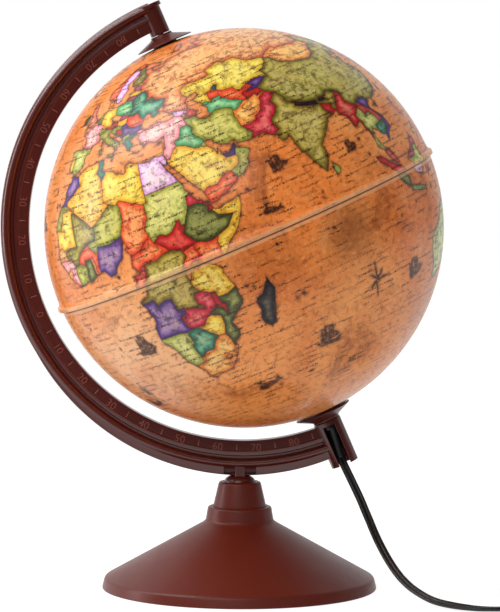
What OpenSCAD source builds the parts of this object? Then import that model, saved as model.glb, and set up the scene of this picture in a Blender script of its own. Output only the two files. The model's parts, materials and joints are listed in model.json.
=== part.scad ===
// Illuminated desk globe: a lit two-part globe that turns on a tilted axis, carried by a
// graduated half-meridian arm on a conical foot, with its lamp, cord, in-line switch and plug.
// Millimetres. Z is up, the origin is where the foot's axis meets the floor, the arm is on the -X side.

/* [Globe] */
// Outside diameter of the globe
globe_d = 260; // [250:1:268]
// Wall of both half shells
globe_wall = 1.6; // [1.2:0.1:2.4]
// How far the globe's centre stands to the right of the foot's axis
globe_shift = 2; // [0:0.5:4]
// Lean of the axis from upright, in degrees
tilt = 23.5; // [20:0.5:26]
// How far the rim of the upper shell stands out from the ball
lip_out = 2.2; // [1.4:0.1:3]
// How far that rim reaches below the equator
lip_low = 2.8; // [2:0.1:4]
// Height of the hollow flare above the rim
lip_flare = 4.6; // [3:0.2:7]
// How far the lower shell's tongue reaches up inside the rim
tongue_up = 3; // [2:0.2:5]

/* [Pole caps] */
// Diameter of the two pole caps
cap_d = 37.4; // [34:0.2:42]
// Edge thickness of a pole cap
cap_edge = 0.9; // [0.6:0.1:1.6]
// Height of a pole cap's cone
cap_rise = 5; // [3.5:0.1:6]
// Diameter of the north cap's neck
north_neck_d = 14.2; // [13:0.2:16]
// Diameter of the south cap's neck
south_neck_d = 17.8; // [16:0.2:18.4]
// Length of a cap's neck
cap_neck_len = 1; // [0.6:0.1:1.4]
// Diameter of the hole at the north pole
north_hole_d = 16.4; // [12:0.2:20]
// Diameter of the hole at the south pole, wide enough to pass the lamp
south_hole_d = 32.4; // [30:0.2:34]
// Depth of the cap hubs into the ball
hub_depth = 4.4; // [3:0.2:8]
// Diameter of the pin that the globe turns on at the top
pin_d = 4; // [3:0.1:5]
// Length of that pin above the north cap's underside
pin_reach = 17; // [12:0.5:22]

/* [Arm] */
// Gap between the ball and the arm
arm_gap = 9.6; // [8:0.2:12]
// Height of the bead's lowest point above the neck
arm_lift = 10.13; // [9:0.01:12]
// Distance of the arm's centre above the globe's, along the axis
arm_rise = 0.8; // [0:0.1:1.6]
// Thickness of the arm at the number band
arm_thick = 10; // [8:0.5:12]
// Width of the number band
band_w = 7; // [6:0.1:8]
// Height of the small step beside the number band
band_step = 0.5; // [0.2:0.1:0.8]
// Width of that step
step_w = 3.2; // [2:0.1:4]
// Width of the groove beside the bead
groove_w = 1.6; // [1:0.1:2]
// Depth of that groove below the number band
groove_deep = 1.2; // [0.6:0.1:2]
// Width of the bead
bead_w = 5.2; // [4:0.1:6]
// Thickness of the arm over the bead
bead_thick = 15; // [13:0.5:17]
// Width of the rounded outer edge
edge_w = 1.4; // [1:0.1:2.4]
// How much smaller the radius of the wider lower edge is than the bead's
sole_in = 3; // [2:0.1:4]
// How far the centre of that edge lies below the arm's centre
sole_drop = 8.7; // [7:0.1:9.4]
// Thickness of the wider lower edge
sole_thick = 11.4; // [9:0.2:12]
// Diameter of the boss at the arm's top
boss_d = 13; // [11:0.2:15]
// How far the boss's rim begins below the arm's outer edge
boss_below = 2.35; // [1:0.05:4]
// Height of the boss's rim
boss_rim_h = 2.8; // [2:0.1:4]
// How far the rim stands out from the boss
boss_rim_out = 1.5; // [0.8:0.1:2]

/* [Lamp sleeve of the arm] */
// Outside diameter of the open sleeve at the arm's foot
sleeve_d = 18.4; // [17.4:0.2:20]
// Bore of the open sleeve
sleeve_bore = 12.4; // [12.2:0.1:13]
// How far the open sleeve reaches out of the arm
sleeve_out = 11.85; // [9:0.05:15]
// Width of the slot that the cord leaves by
slot_w = 7.7; // [6.6:0.1:9]
// Thickness of the closed ring at the sleeve's top
sleeve_ring = 3; // [2.4:0.2:5]

/* [Foot] */
// Diameter of the foot
foot_d = 180; // [170:1:195]
// Height of the foot's upright rim
foot_rim_h = 6.9; // [5:0.1:9]
// How much the rim leans in
foot_rim_in = 1.8; // [1:0.1:3]
// Wall of the foot
foot_wall = 2.6; // [2:0.1:4]
// Diameter of the collar at the foot's top
collar_d = 44.4; // [43:0.2:46]
// Height at which the collar begins
collar_z = 44; // [42:0.5:46]
// Height of the collar
collar_h = 9.7; // [9:0.1:11]
// How much the collar leans in
collar_in = 1.6; // [1:0.1:2]
// Reach of the cove at the collar's foot
cove = 2; // [1:0.1:3]
// Rounding of the collar's top edge
collar_round = 1.6; // [1:0.1:2]
// Depth of the socket that the neck stands in
socket_deep = 4.8; // [4:0.1:6]
// Outside diameter of the screw boss under the collar
screw_boss_d = 22; // [20:0.5:26]
// Height of the screw boss's lower end
screw_boss_z = 20; // [16:0.5:24]
// Thickness of that lower end
screw_boss_floor = 3; // [2:0.1:4]

/* [Neck] */
// Diameter of the neck at its foot
neck_d = 34.6; // [33:0.2:36]
// Diameter of the neck at its top
neck_top_d = 27.2; // [26.6:0.2:29]
// Height of the neck above the collar
neck_h = 16.3; // [15:0.1:17]
// Rounding of the neck's top edge
neck_round = 1.8; // [0.8:0.1:2.4]
// Wall of the neck
neck_wall = 2.4; // [2:0.1:3]
// Diameter of the recess in the neck's top
recess_d = 21; // [20.8:0.1:22]
// Depth of that recess
recess_deep = 1.2; // [0.8:0.1:2]
// Diameter of the arm's saddle where it stands in the recess
saddle_d = 20.4; // [19.6:0.1:20.6]
// Height of the saddle's dome
saddle_h = 6.2; // [5:0.1:7]
// Width of the rib that rises from the dome
rib_w = 6.2; // [5:0.1:8]
// Width of the pocket on each side of the rib
pocket_w = 7.5; // [6:0.1:9]
// Height of those pockets
pocket_h = 4.8; // [4:0.1:5.4]
// Depth of those pockets
pocket_deep = 3.6; // [2:0.1:4.2]
// Diameter of the arm's spigot
spigot_d = 16; // [14:0.2:17]

/* [Foot screw] */
// Diameter of the screw
screw_d = 4; // [3.5:0.1:5]
// Length of the screw under its head
screw_len = 20; // [16:1:24]
// Diameter of the screw's head
screw_head_d = 8; // [7:0.1:9]
// Height of the screw's head
screw_head_h = 2.6; // [2:0.1:3.4]
// Diameter of the washer
washer_d = 12; // [10:0.5:16]
// Thickness of the washer
washer_t = 1; // [0.8:0.1:1.6]

/* [Lamp holder] */
// Outside diameter of the tube that carries the lamp
tube_d = 12; // [11.6:0.1:12.2]
// Wall of that tube
tube_wall = 0.9; // [0.6:0.1:1.2]
// Outside diameter of the lamp holder
holder_d = 28; // [27:0.2:29]
// Wall of the lamp holder
holder_wall = 1.3; // [1:0.1:1.6]
// Distance of the holder's rim below the globe's centre
holder_rim = 27; // [22:0.5:32]
// Length of the holder's skirt
skirt_len = 33; // [31:0.5:36]
// Length of the holder's cap
holder_cap_len = 16; // [14:0.5:20]
// Opening in the holder's rim
rim_open_d = 19.2; // [17:0.2:21]
// Inside diameter of the threaded contact
contact_bore = 14.6; // [14.5:0.1:15.2]
// Depth of the holder's inner cup
cup_deep = 22; // [20:0.5:23]

/* [Lamp] */
// Diameter of the lamp's glass
glass_d = 27; // [24:0.5:28]
// Wall of the glass
glass_wall = 0.8; // [0.6:0.1:1.2]
// Length of the glass above the lamp's cap
glass_len = 43; // [38:1:50]
// Diameter over the lamp's screw thread
thread_d = 13.9; // [13.6:0.1:14]
// Length of the lamp's screw cap
thread_len = 15.6; // [14:0.2:16.4]
// Pitch of the thread's ridges
thread_pitch = 2.8; // [2.4:0.1:3.2]
// Length of the glass stem inside the lamp
stem_len = 20; // [16:0.5:22]
// Radius of the bead on that stem
stem_bead_r = 2.6; // [2.4:0.1:3]
// Length of each post that holds the filament
post_len = 9; // [7:0.5:10]

/* [Cord] */
// Width of the flat cord
cord_w = 5.4; // [4.8:0.1:5.6]
// Thickness of the flat cord
cord_t = 2.8; // [2.4:0.1:3]
// Length of the tapered relief that the cord leaves by
relief_len = 20; // [18:0.5:24]
// Diameter of the relief at its root
relief_root_d = 7.8; // [7.2:0.1:9]
// Diameter of the relief at its tip
relief_tip_d = 6.6; // [6.4:0.1:7]
// How far the relief leans out of the globe's axis, in degrees
relief_lean = 6.3; // [0:0.1:8]
// How far the relief's root stands to the right of that axis
relief_shift = 1.1; // [0:0.1:1.6]
// Turns of the stored coil
coil_turns = 5.5; // [3.5:1:5.5]
// Outer turn radius of the coil
coil_r = 38; // [37.5:0.5:40]
// Step of the coil from turn to turn
coil_step = 5.9; // [5.6:0.1:6]
// Step of the coil from layer to layer
coil_layer = 6; // [5.9:0.1:6.4]
// Straight length at each end of the coil
coil_lead = 5.4; // [5:0.2:7]
// Thickness of the tie round the coil
tie_t = 0.6; // [0.4:0.1:0.8]
// Width of that tie
tie_w = 5; // [3:0.5:8]

/* [In-line switch] */
// Length of the switch
switch_len = 58; // [54:1:62]
// Width of the switch
switch_w = 22; // [20:0.5:24]
// Length of the wide middle of the switch
switch_mid = 40; // [36:1:44]
// Width of the switch's noses
nose_w = 11; // [10:0.5:13]
// Height of the switch's lower half
switch_low_h = 6.4; // [6:0.1:7]
// Height of the switch's upper half
switch_up_h = 8; // [7.4:0.1:9]
// Wall of the switch's halves
switch_wall = 1.8; // [1.4:0.1:2.2]
// Length of the rocker
rocker_len = 16; // [14:0.5:20]
// Width of the rocker
rocker_w = 10; // [8:0.5:12]
// Swing of the rocker from side to side, in degrees
rocker_swing = 14; // [10:1:18]

/* [Plug] */
// Width of the plug's face
plug_w = 35.3; // [34:0.1:36]
// Thickness of the plug
plug_t = 13.7; // [13:0.1:14]
// Length of the plug's body
plug_len = 35; // [33:0.5:38]
// Distance between the plug's pins
pin_gap = 18.6; // [18:0.1:19]
// Diameter of the plug's pins
plug_pin_d = 4; // [4:0.1:4.8]
// Length of the pins out of the body
plug_pin_len = 19; // [18:0.5:20]
// Length of the insulating sleeves on the pins
pin_sleeve_len = 10; // [9:0.5:11]
// Length of the plug's tapered relief
plug_relief_len = 24; // [20:0.5:30]
// Depth that the pins are moulded into the plug
pin_root = 11; // [8:0.5:14]

/* [Clearances] */
// Gap between the tongue and the rim of the globe
shell_fit = 0.2; // [0.1:0.05:0.4]
// Gap of a turning fit on the radius
turn_fit = 0.05; // [0.02:0.01:0.1]
// Gap of a seated fit on the radius
seat_fit = 0.1; // [0.05:0.05:0.2]
// Gap between faces that turn past each other
face_gap = 0.3; // [0.2:0.1:0.6]
// Gap round the cord where it goes into a piece
cord_fit = 0.2; // [0.1:0.05:0.4]
// Gap between the coil and its tie
tie_fit = 0.4; // [0.3:0.05:0.6]
// Gap round the rocker
rocker_fit = 0.3; // [0.2:0.05:0.5]

/* [Hidden] */
$fn = 96;

brown = "#4a1c18";
deep_brown = "#3a1512";
black = "#17171a";
brass = "#b58d3c";
steel = "#b9bcc0";
globe_colour = "#d08a4c";

eps = 0.01;
globe_r = globe_d / 2;

// radii of the arm's section, from the inner edge outwards
arm_inner_r = globe_r + arm_gap;
step_r = arm_inner_r + band_w;
groove_r = step_r + step_w;
bead_r = groove_r + groove_w;
edge_r = bead_r + bead_w;
arm_outer_r = edge_r + edge_w;
sole_r = edge_r - sole_in;
band_y = arm_thick / 2;
bead_y = bead_thick / 2;

neck_top_z = collar_z + collar_h + neck_h;
bead_low_z = neck_top_z + arm_lift;
arm_from_globe = arm_rise * [-sin(tilt), 0, cos(tilt)];
globe_at = [globe_shift, 0, bead_low_z + edge_r - arm_from_globe[2]];
arm_at = globe_at + arm_from_globe;
cap_face = globe_r + face_gap;
cap_end = cap_face + cap_edge / 2 + cap_rise + cap_neck_len;
boss_from = cap_end + face_gap;
boss_to = arm_rise + edge_r - boss_below;
sleeve_from = cap_end + face_gap;
sleeve_to = edge_r - arm_rise + sleeve_out;

neck_foot_z = collar_z + collar_h - socket_deep;
spigot_z = screw_boss_z + screw_boss_floor + seat_fit;
cone_slope = (foot_d / 2 - foot_rim_in - collar_d / 2) / (collar_z - foot_rim_h);

tube_from = holder_rim + skirt_len + holder_cap_len - 5.3;
tube_to = sleeve_from + sleeve_ring;
relief_from = tube_to + face_gap;
relief_collar = 2.6;
sheath_from = holder_rim + skirt_len + holder_cap_len + 8;
cup_floor = holder_rim + holder_wall + cup_deep;
contact_top = cup_floor - 1.6;

// the flat cord's route, in the order that it runs: place and the way its flat side faces
lead_route = [
  [[64.2, 0, 92.0], [0, -1, 0]], [[65.9, -0.2, 86.4], [0, -1, 0]],
  [[68.6, -1.6, 80.4], [0, -1, 0.1]], [[72.6, -4.6, 72.4], [0, -1, 0.1]],
  [[75.8, -7.6, 66.0], [0, -1, 0.1]], [[78.9, -10.8, 59.6], [0, -1, 0.1]],
  [[81.6, -14.4, 53.4], [0, -1, 0.2]], [[84.3, -18.4, 47.4], [0, -1, 0.2]],
  [[86.9, -23.0, 41.4], [0, -1, 0.2]], [[89.7, -28.2, 35.6], [0, -1, 0.3]],
  [[92.8, -34.2, 30.0], [0, -1, 0.3]], [[96.2, -41.0, 24.6], [0, -1, 0.4]],
  [[100.2, -48.6, 19.2], [0, -1, 0.5]], [[105.2, -57.4, 14.0], [0, -1, 0.7]],
  [[112.0, -66.8, 9.2], [0, -1, 1]], [[122.6, -78.8, 4.8], [0, -0.8, 1]],
  [[134.4, -86.6, 2.9], [0, -0.6, 1]], [[148.4, -91.4, 1.8], [0, -0.2, 1]],
  [[158.6, -92.4, 1.5], [0, 0, 1]], [[167.0, -92.0, 1.5], [0, 0, 1]],
  [[175.8, -90.0, 1.5], [0, 0, 1]], [[183.4, -84.8, 1.5], [0, 0, 1]],
  [[188.4, -77.0, 1.6], [0, 0, 1]], [[190.0, -68.0, 2.2], [0, 0, 1]],
  [[190.0, -59.0, 4.2], [0, 0, 1]], [[190.0, -51.0, 6.0], [0, 0, 1]],
  [[190.0, -44.0, 6.4], [0, 0, 1]]];
link_route = [
  [[190.0, 10.0, 6.4], [0, 0, 1]], [[190.0, 17.0, 6.0], [0.2, 0, 1]],
  [[189.6, 24.0, 5.0], [0.8, 0, 1]], [[188.8, 31.0, 4.1], [1, 0, 0.5]],
  [[188.2, 37.6, 3.6], [1, 0, 0.1]], [[188.0, 42.6, 3.5], [1, 0, 0]],
  [[188.0, 46.6, 3.5], [1, 0, 0]]];
tail_route = [
  [[264.0, 46.6, 9.5], [1, 0, 0]], [[264.0, 42.6, 9.4], [1, 0, 0]],
  [[263.2, 36.0, 8.8], [1, 0, 0.2]], [[260.8, 28.0, 7.4], [1, 0, 0.8]],
  [[257.6, 20.0, 6.2], [0.4, 0, 1]], [[254.6, 12.0, 6.0], [0, 0, 1]],
  [[252.5, 4.0, 6.6], [0, 0, 1]], [[252.0, -4.0, 6.85], [0, 0, 1]]];
coil_at = [226, 52, 3.5];
switch_at = [190, -17, 0];
plug_at = [252, 0, 6.85];

// how far a turn of the coil lies from its axis, and how high
function coil_radius(u) = coil_r - coil_step * (coil_turns / 2 - abs(u - coil_turns / 2));
function ease(t) = t <= 0 ? 0 : t >= 1 ? 1 : t * t * (3 - 2 * t);
function coil_place(u) = coil_at + [coil_radius(u) * cos(180 - 360 * u),
  coil_radius(u) * sin(180 - 360 * u), coil_layer * ease(2 * (u - coil_turns / 2) + 0.5)];
rings_per_turn = 24;
coil_rings = coil_turns * rings_per_turn;
coil_sides = 6;

function unit(v) = v / norm(v);
// corner points of one ring of the flat cord, square to the way it runs
function cord_ring(at, along, face, sides) =
  let (w = unit(cross(along, face)), n = unit(cross(w, along)))
  [for (k = [0 : sides - 1]) at + w * cord_w / 2 * cos(360 * k / sides)
    + n * cord_t / 2 * sin(360 * k / sides)];
function way(p, i) = unit(p[min(i + 1, len(p) - 1)][0] - p[max(i - 1, 0)][0]);
function route_rings(p, sides) = [for (i = [0 : len(p) - 1]) cord_ring(p[i][0], way(p, i), p[i][1], sides)];
function run_length(p, i = 1) = i >= len(p) ? 0 : norm(p[i] - p[i - 1]) + run_length(p, i + 1);

// one closed tube through a list of rings
module skin(rings) {
  n = len(rings);
  s = len(rings[0]);
  polyhedron(
    points = [for (r = rings) each r],
    faces = concat(
      [[for (k = [0 : s - 1]) k]],
      [for (i = [0 : n - 2], k = [0 : s - 1]) [i * s + k, (i + 1) * s + k, (i + 1) * s + (k + 1) % s]],
      [for (i = [0 : n - 2], k = [0 : s - 1]) [i * s + k, (i + 1) * s + (k + 1) % s, i * s + (k + 1) % s]],
      [[for (k = [s - 1 : -1 : 0]) (n - 1) * s + k]]));
}

// the frame of the tilted axis: local Z runs north from the globe's centre
module on_axis() {
  translate(globe_at) rotate([0, -tilt, 0]) children();
}

// a ring or disc on the local Z axis, from one height to another
module disc(r, from, to) {
  translate([0, 0, from]) cylinder(r = r, h = to - from);
}

module tube(r_out, r_in, from, to) {
  difference() {
    disc(r_out, from, to);
    disc(r_in, from - 1, to + 1);
  }
}

module round_rect(w, l, r) {
  square([w - 2 * r, l], center = true);
  square([w, l - 2 * r], center = true);
  for (sx = [-1, 1], sy = [-1, 1]) translate([sx * (w / 2 - r), sy * (l / 2 - r)]) circle(r);
}

module base_shell() {
  top_z = collar_z + collar_h;
  collar_top_r = collar_d / 2 - collar_in;
  rim_r = foot_d / 2;
  color(brown) difference() {
    union() {
      rotate_extrude() polygon([[0, 0], [rim_r - 0.4, 0], [rim_r, 0.6],
        [rim_r - foot_rim_in + 0.3, foot_rim_h - 0.5], [rim_r - foot_rim_in - 0.5, foot_rim_h + 0.3],
        [collar_d / 2 + cove, collar_z - cove / cone_slope],
        [collar_d / 2 + cove * 0.35, collar_z - cove * 0.2], [collar_d / 2, collar_z + cove * 0.4],
        [collar_top_r, top_z - collar_round], [0, top_z - collar_round]]);
      translate([0, 0, top_z - collar_round]) rotate_extrude() {
        square([collar_top_r - collar_round, collar_round]);
        intersection() {
          translate([collar_top_r - collar_round, 0]) circle(collar_round);
          square([collar_top_r, collar_round]);
        }
      }
    }
    difference() {
      rotate_extrude() polygon([[0, -1], [rim_r - foot_wall, -1],
        [rim_r - foot_rim_in - foot_wall, foot_rim_h - foot_wall / 2],
        [collar_d / 2 - foot_wall, collar_z - foot_wall / 2],
        [collar_d / 2 - foot_wall, neck_foot_z - foot_wall],
        [0, neck_foot_z - foot_wall]]);
      disc(screw_boss_d / 2, screw_boss_z, top_z);
    }
    disc(neck_d / 2 + seat_fit, neck_foot_z, top_z + 1);
    disc(spigot_d / 2 + seat_fit, screw_boss_z + screw_boss_floor, top_z);
    disc(screw_d / 2 + seat_fit, 0, top_z);
  }
}

module neck_sleeve() {
  foot_r = neck_d / 2;
  top_r = neck_top_d / 2;
  seat_z = collar_z + collar_h;
  color(brown) difference() {
    rotate_extrude() {
      translate([0, neck_foot_z]) square([foot_r, socket_deep]);
      polygon([[0, seat_z - eps], [foot_r, seat_z - eps], [foot_r, seat_z],
        [top_r, neck_top_z - neck_round], [0, neck_top_z - neck_round]]);
      translate([0, neck_top_z - neck_round - eps]) square([top_r - neck_round, neck_round + eps]);
      intersection() {
        translate([top_r - neck_round, neck_top_z - neck_round]) circle(neck_round);
        translate([0, neck_top_z - neck_round - eps]) square([top_r, neck_round + eps]);
      }
    }
    rotate_extrude() polygon([[0, neck_foot_z - 1], [foot_r - neck_wall, neck_foot_z - 1],
      [foot_r - neck_wall, seat_z], [top_r - neck_wall, neck_top_z - 4.4], [0, neck_top_z - 4.4]]);
    disc(spigot_d / 2 + seat_fit, 0, neck_top_z);
    disc(recess_d / 2, neck_top_z - recess_deep, neck_top_z + 1);
  }
}

module base_washer() {
  color(steel) tube(washer_d / 2, screw_d / 2 + seat_fit, screw_boss_z - washer_t, screw_boss_z);
}

module base_screw() {
  head_z = screw_boss_z - washer_t;
  slot_deep = screw_head_h / 2;
  color(steel) difference() {
    union() {
      disc(screw_head_d / 2, head_z - screw_head_h, head_z);
      disc(screw_d / 2, head_z - eps, head_z + screw_len);
    }
    for (a = [0, 90]) rotate([0, 0, a])
      translate([0, 0, head_z - screw_head_h]) cube([screw_head_d * 0.6, 1, 2 * slot_deep], center = true);
  }
}

// half of the arm's section, radius across and thickness up
function arm_half() = [
  [arm_inner_r, band_y - 0.4], [arm_inner_r + 0.4, band_y],
  [step_r - 0.5, band_y], [step_r, band_y + band_step],
  [groove_r - 0.6, band_y + band_step / 2], [groove_r, band_y - groove_deep + 0.2],
  [bead_r - 0.4, band_y - groove_deep], [bead_r + bead_w * 0.3, bead_y - 0.9],
  [bead_r + bead_w * 0.5, bead_y - 0.1], [bead_r + bead_w * 0.68, bead_y - 0.05],
  [bead_r + bead_w * 0.86, bead_y - 0.8], [edge_r, sole_thick / 2],
  [arm_outer_r - 0.4, sole_thick / 2 - 0.3], [arm_outer_r, sole_thick / 2 - 0.9]];

module arm_section() {
  half = arm_half();
  last = len(half) - 1;
  polygon(concat(half, [for (i = [last : -1 : 0]) [half[i][0], -half[i][1]]]));
}

// the plane of the arm, with its centre at the origin and X, Y as the world's X, Z
module arm_plane() {
  translate(arm_at) rotate([90, 0, 0]) children();
}

module arm() {
  reach = 2 * arm_outer_r;
  pocket_low = bead_low_z - pocket_h;
  color(deep_brown) difference() {
    union() {
      arm_plane() rotate([0, 0, 90 + tilt]) rotate_extrude(angle = 180, $fn = 240) arm_section();
      difference() {
        arm_plane() translate([0, 0, -sole_thick / 2]) linear_extrude(sole_thick) difference() {
          intersection() {
            translate([0, -sole_drop]) circle(sole_r, $fn = 240);
            translate([-reach, -2 * reach]) square([2 * reach, 2 * reach]);
            rotate(tilt) translate([-reach, -reach]) square([reach, 2 * reach]);
          }
          circle(edge_r - 0.6, $fn = 240);
        }
        for (sx = [-1, 1], sy = [-1, 1])
          translate([sx * (rib_w + pocket_w) / 2, sy * (sole_thick / 2 - pocket_deep / 2 + 1),
            pocket_low + pocket_h / 2])
            cube([pocket_w, pocket_deep + 2, pocket_h], center = true);
      }
      saddle();
      on_axis() {
        disc(boss_d / 2, boss_from, boss_to);
        disc(boss_d / 2 + boss_rim_out, boss_to - eps, boss_to + boss_rim_h);
        disc(sleeve_d / 2, -sleeve_to, -sleeve_from);
      }
    }
    on_axis() {
      disc(pin_d / 2 + turn_fit, boss_from - 1, cap_face + pin_reach + 1);
      disc(tube_d / 2, -tube_to, -sleeve_from + 1);
      disc(sleeve_bore / 2, -sleeve_to - 1, -tube_to);
      translate([-slot_w / 2, -sleeve_d, -sleeve_to - 1]) cube([slot_w, sleeve_d, sleeve_to - tube_to + 1]);
    }
    disc(screw_d / 2 - 0.4, spigot_z - 1, screw_boss_z - washer_t + screw_len + 1);
  }
}

module saddle() {
  foot_z = neck_top_z - recess_deep;
  r = saddle_d / 2;
  rotate_extrude() polygon([[0, foot_z], [r, foot_z], [r, foot_z + recess_deep + 0.4],
    [r * 0.94, foot_z + saddle_h * 0.45], [r * 0.76, foot_z + saddle_h * 0.7],
    [r * 0.5, foot_z + saddle_h * 0.92], [rib_w / 2, foot_z + saddle_h + 0.6], [0, foot_z + saddle_h + 0.6]]);
  disc(spigot_d / 2, spigot_z, foot_z + eps);
  translate([-rib_w / 2, -sole_thick / 2 - 0.5, foot_z + saddle_h / 2])
    cube([rib_w, sole_thick + 1, bead_low_z - foot_z - saddle_h / 2 + 1]);
}

module north_pin() {
  color(steel) on_axis() disc(pin_d / 2, cap_face - hub_depth, cap_face + pin_reach);
}

// a pole cap's cone and neck, standing on the local plane Z = 0
module cap_cone(neck_r) {
  rotate_extrude() polygon([[0, 0], [cap_d / 2, 0], [cap_d / 2, cap_edge / 2],
    [neck_r + 1.6, cap_rise - 0.4], [neck_r, cap_rise + cap_edge / 2],
    [neck_r, cap_rise + cap_edge / 2 + cap_neck_len], [0, cap_rise + cap_edge / 2 + cap_neck_len]]);
}

module north_cap() {
  color(brown) on_axis() difference() {
    union() {
      translate([0, 0, cap_face]) cap_cone(north_neck_d / 2);
      disc(north_hole_d / 2 - seat_fit, cap_face - hub_depth, cap_face + eps);
    }
    disc(pin_d / 2, cap_face - hub_depth - 1, cap_end + 1);
  }
}

module south_cap() {
  hub_r = south_hole_d / 2 - seat_fit;
  color(brown) on_axis() mirror([0, 0, 1]) difference() {
    union() {
      translate([0, 0, cap_face]) cap_cone(south_neck_d / 2);
      disc(hub_r, cap_face - hub_depth, cap_face + eps);
    }
    disc(hub_r - 2.4, cap_face - hub_depth - 1, cap_face - 0.6);
    disc(tube_d / 2 + turn_fit, cap_face - 2, cap_end + 1);
  }
}

module ball(r) {
  sphere(r = r, $fn = 192);
}

module north_shell() {
  lip_r = globe_r + lip_out;
  socket_r = globe_r - globe_wall / 2 + shell_fit;
  color(globe_colour) on_axis() difference() {
    union() {
      difference() {
        ball(globe_r);
        translate([-globe_d, -globe_d, -2 * globe_d - lip_low]) cube(2 * globe_d);
      }
      rotate_extrude($fn = 192) polygon(concat(
        [[globe_r - 2 * globe_wall, lip_flare], [globe_r - 2 * globe_wall, -lip_low],
          [lip_r, -lip_low], [lip_r, 0]],
        [for (a = [75 : -15 : 0]) [lip_r - lip_out * cos(a), lip_flare * (1 - sin(a))]]));
    }
    ball(globe_r - globe_wall);
    disc(socket_r, -lip_low - 1, tongue_up + shell_fit);
    disc(north_hole_d / 2, globe_r / 2, globe_r + 1);
  }
}

module south_shell() {
  tongue_r = globe_r - globe_wall / 2;
  shoulder = lip_low + shell_fit;
  color(globe_colour) on_axis() difference() {
    union() {
      intersection() {
        ball(globe_r);
        disc(globe_r + 1, -globe_r - 1, -shoulder);
      }
      disc(tongue_r, -shoulder - eps, tongue_up);
    }
    intersection() {
      ball(globe_r - globe_wall);
      disc(globe_r, -globe_r, -shoulder);
    }
    disc(tongue_r - globe_wall, -shoulder - eps, tongue_up + 1);
    disc(south_hole_d / 2, -globe_r - 1, -globe_r / 2);
  }
}

module lamp_tube() {
  color(steel) on_axis() tube(tube_d / 2, tube_d / 2 - tube_wall, -tube_to, -tube_from);
}

module holder_cap() {
  r = holder_d / 2;
  top = -holder_rim - skirt_len - seat_fit;
  end = -holder_rim - skirt_len - holder_cap_len;
  neck_r = tube_d / 2 + 2;
  color(black) on_axis() difference() {
    rotate_extrude() polygon([[0, end], [neck_r, end], [neck_r, end + 6], [r - 1.6, end + 10.4],
      [r, end + 12], [r, top], [0, top]]);
    disc(tube_d / 2 + seat_fit / 2, end - 1, end + 5.4);
    disc(tube_d / 2 - tube_wall, end, top);
    rotate_extrude() polygon([[0, end + 6.8], [tube_d / 2, end + 6.8], [r - holder_wall - 1, end + 11.6],
      [r - holder_wall, end + 13], [r - holder_wall, top + 1], [0, top + 1]]);
  }
}

module holder_skirt() {
  r = holder_d / 2;
  low = -holder_rim - skirt_len;
  color(black) on_axis() difference() {
    disc(r, low, -holder_rim);
    disc(r - holder_wall, low - 1, -holder_rim - holder_wall);
    disc(rim_open_d / 2, low, -holder_rim + 1);
  }
}

module holder_insert() {
  r = holder_d / 2 - holder_wall - seat_fit;
  color("#e8e4d8") on_axis() difference() {
    disc(r, -holder_rim - skirt_len, -holder_rim - holder_wall - seat_fit);
    disc(contact_bore / 2 + 0.8, -cup_floor, -holder_rim);
    for (s = [-1, 1]) translate([s * 7, 0, 0]) disc(1.5, -holder_rim - skirt_len - 1, -cup_floor - 1.6);
  }
}

module thread_contact() {
  r = contact_bore / 2;
  color(brass) on_axis() tube(r + 0.6, r, -cup_floor, -holder_rim - holder_wall - 3);
}

module centre_contact() {
  color(brass) on_axis() {
    translate([-5, -2, -cup_floor]) cube([10, 4, 0.8]);
    translate([0, 0, -cup_floor + 0.8 - eps]) cylinder(r1 = 2.2, r2 = 1.6, h = 0.8);
  }
}

module terminal_screws() {
  low = -holder_rim - skirt_len;
  color(brass) on_axis() for (s = [-1, 1]) translate([s * 7, 0, 0]) difference() {
    union() {
      disc(2.4, low - 2.2, low);
      disc(1.4, low - eps, -cup_floor - 2.6);
    }
    translate([0, 0, low - 2.2]) cube([6, 0.8, 1.6], center = true);
  }
}

// outline of the lamp's glass from its neck to its crown, drawn in or out by a wall
function glass_profile(wall) = let (r = glass_d / 2 - wall, neck = 5.8 - wall, top = glass_len - wall)
  concat([[neck, -8]], [for (t = [0 : 0.125 : 1]) [neck + (r - neck) * ease(t), 15 * t]],
    [for (a = [0 : 10 : 90]) [r * cos(a), top - r + r * sin(a)]]);

module bulb_glass() {
  foot = -contact_top + 1.1 + 2.4 + thread_len;
  color([1, 0.97, 0.9, 0.5]) on_axis() translate([0, 0, foot]) rotate_extrude() difference() {
    polygon(concat([[0, -8]], glass_profile(0)));
    polygon(concat([[0, -9]], [[5.8 - glass_wall, -9]], glass_profile(glass_wall)));
  }
}

module bulb_screw_cap() {
  foot = -contact_top + 1.1 + 2.4;
  r = thread_d / 2;
  ridges = floor((thread_len - 5) / thread_pitch);
  color(brass) on_axis() translate([0, 0, foot]) rotate_extrude() difference() {
    polygon(concat([[0, 0], [5.2, 0], [r - 0.7, 1]],
      [for (i = [0 : ridges - 1], p = [[0.25, 0], [0.5, 1], [0.75, 1], [1, 0]])
        [r - 0.7 + 0.7 * p[1], 1 + (i + p[0]) * thread_pitch]],
      [[r - 0.7, thread_len - 2.4], [r, thread_len - 1.2], [r, thread_len], [0, thread_len]]));
    translate([0, 1]) square([5.9, thread_len]);
  }
}

module bulb_insulator() {
  foot = -contact_top + 1.1;
  color(black) on_axis() translate([0, 0, foot]) cylinder(r1 = 2.8, r2 = 5.1, h = 2.4);
}

module bulb_tip() {
  color(steel) on_axis() translate([0, 0, -contact_top + 0.1]) cylinder(r1 = 1.6, r2 = 2.4, h = 1);
}

module bulb_stem() {
  foot = -contact_top + 1.1 + 2.4 + thread_len - 8;
  color([0.9, 0.95, 1, 0.5]) on_axis() translate([0, 0, foot]) {
    disc(5.8 - glass_wall - seat_fit, 0.2, 1.4);
    disc(2.2, 1.3, stem_len);
    translate([0, 0, stem_len]) sphere(r = stem_bead_r);
  }
}

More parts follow.
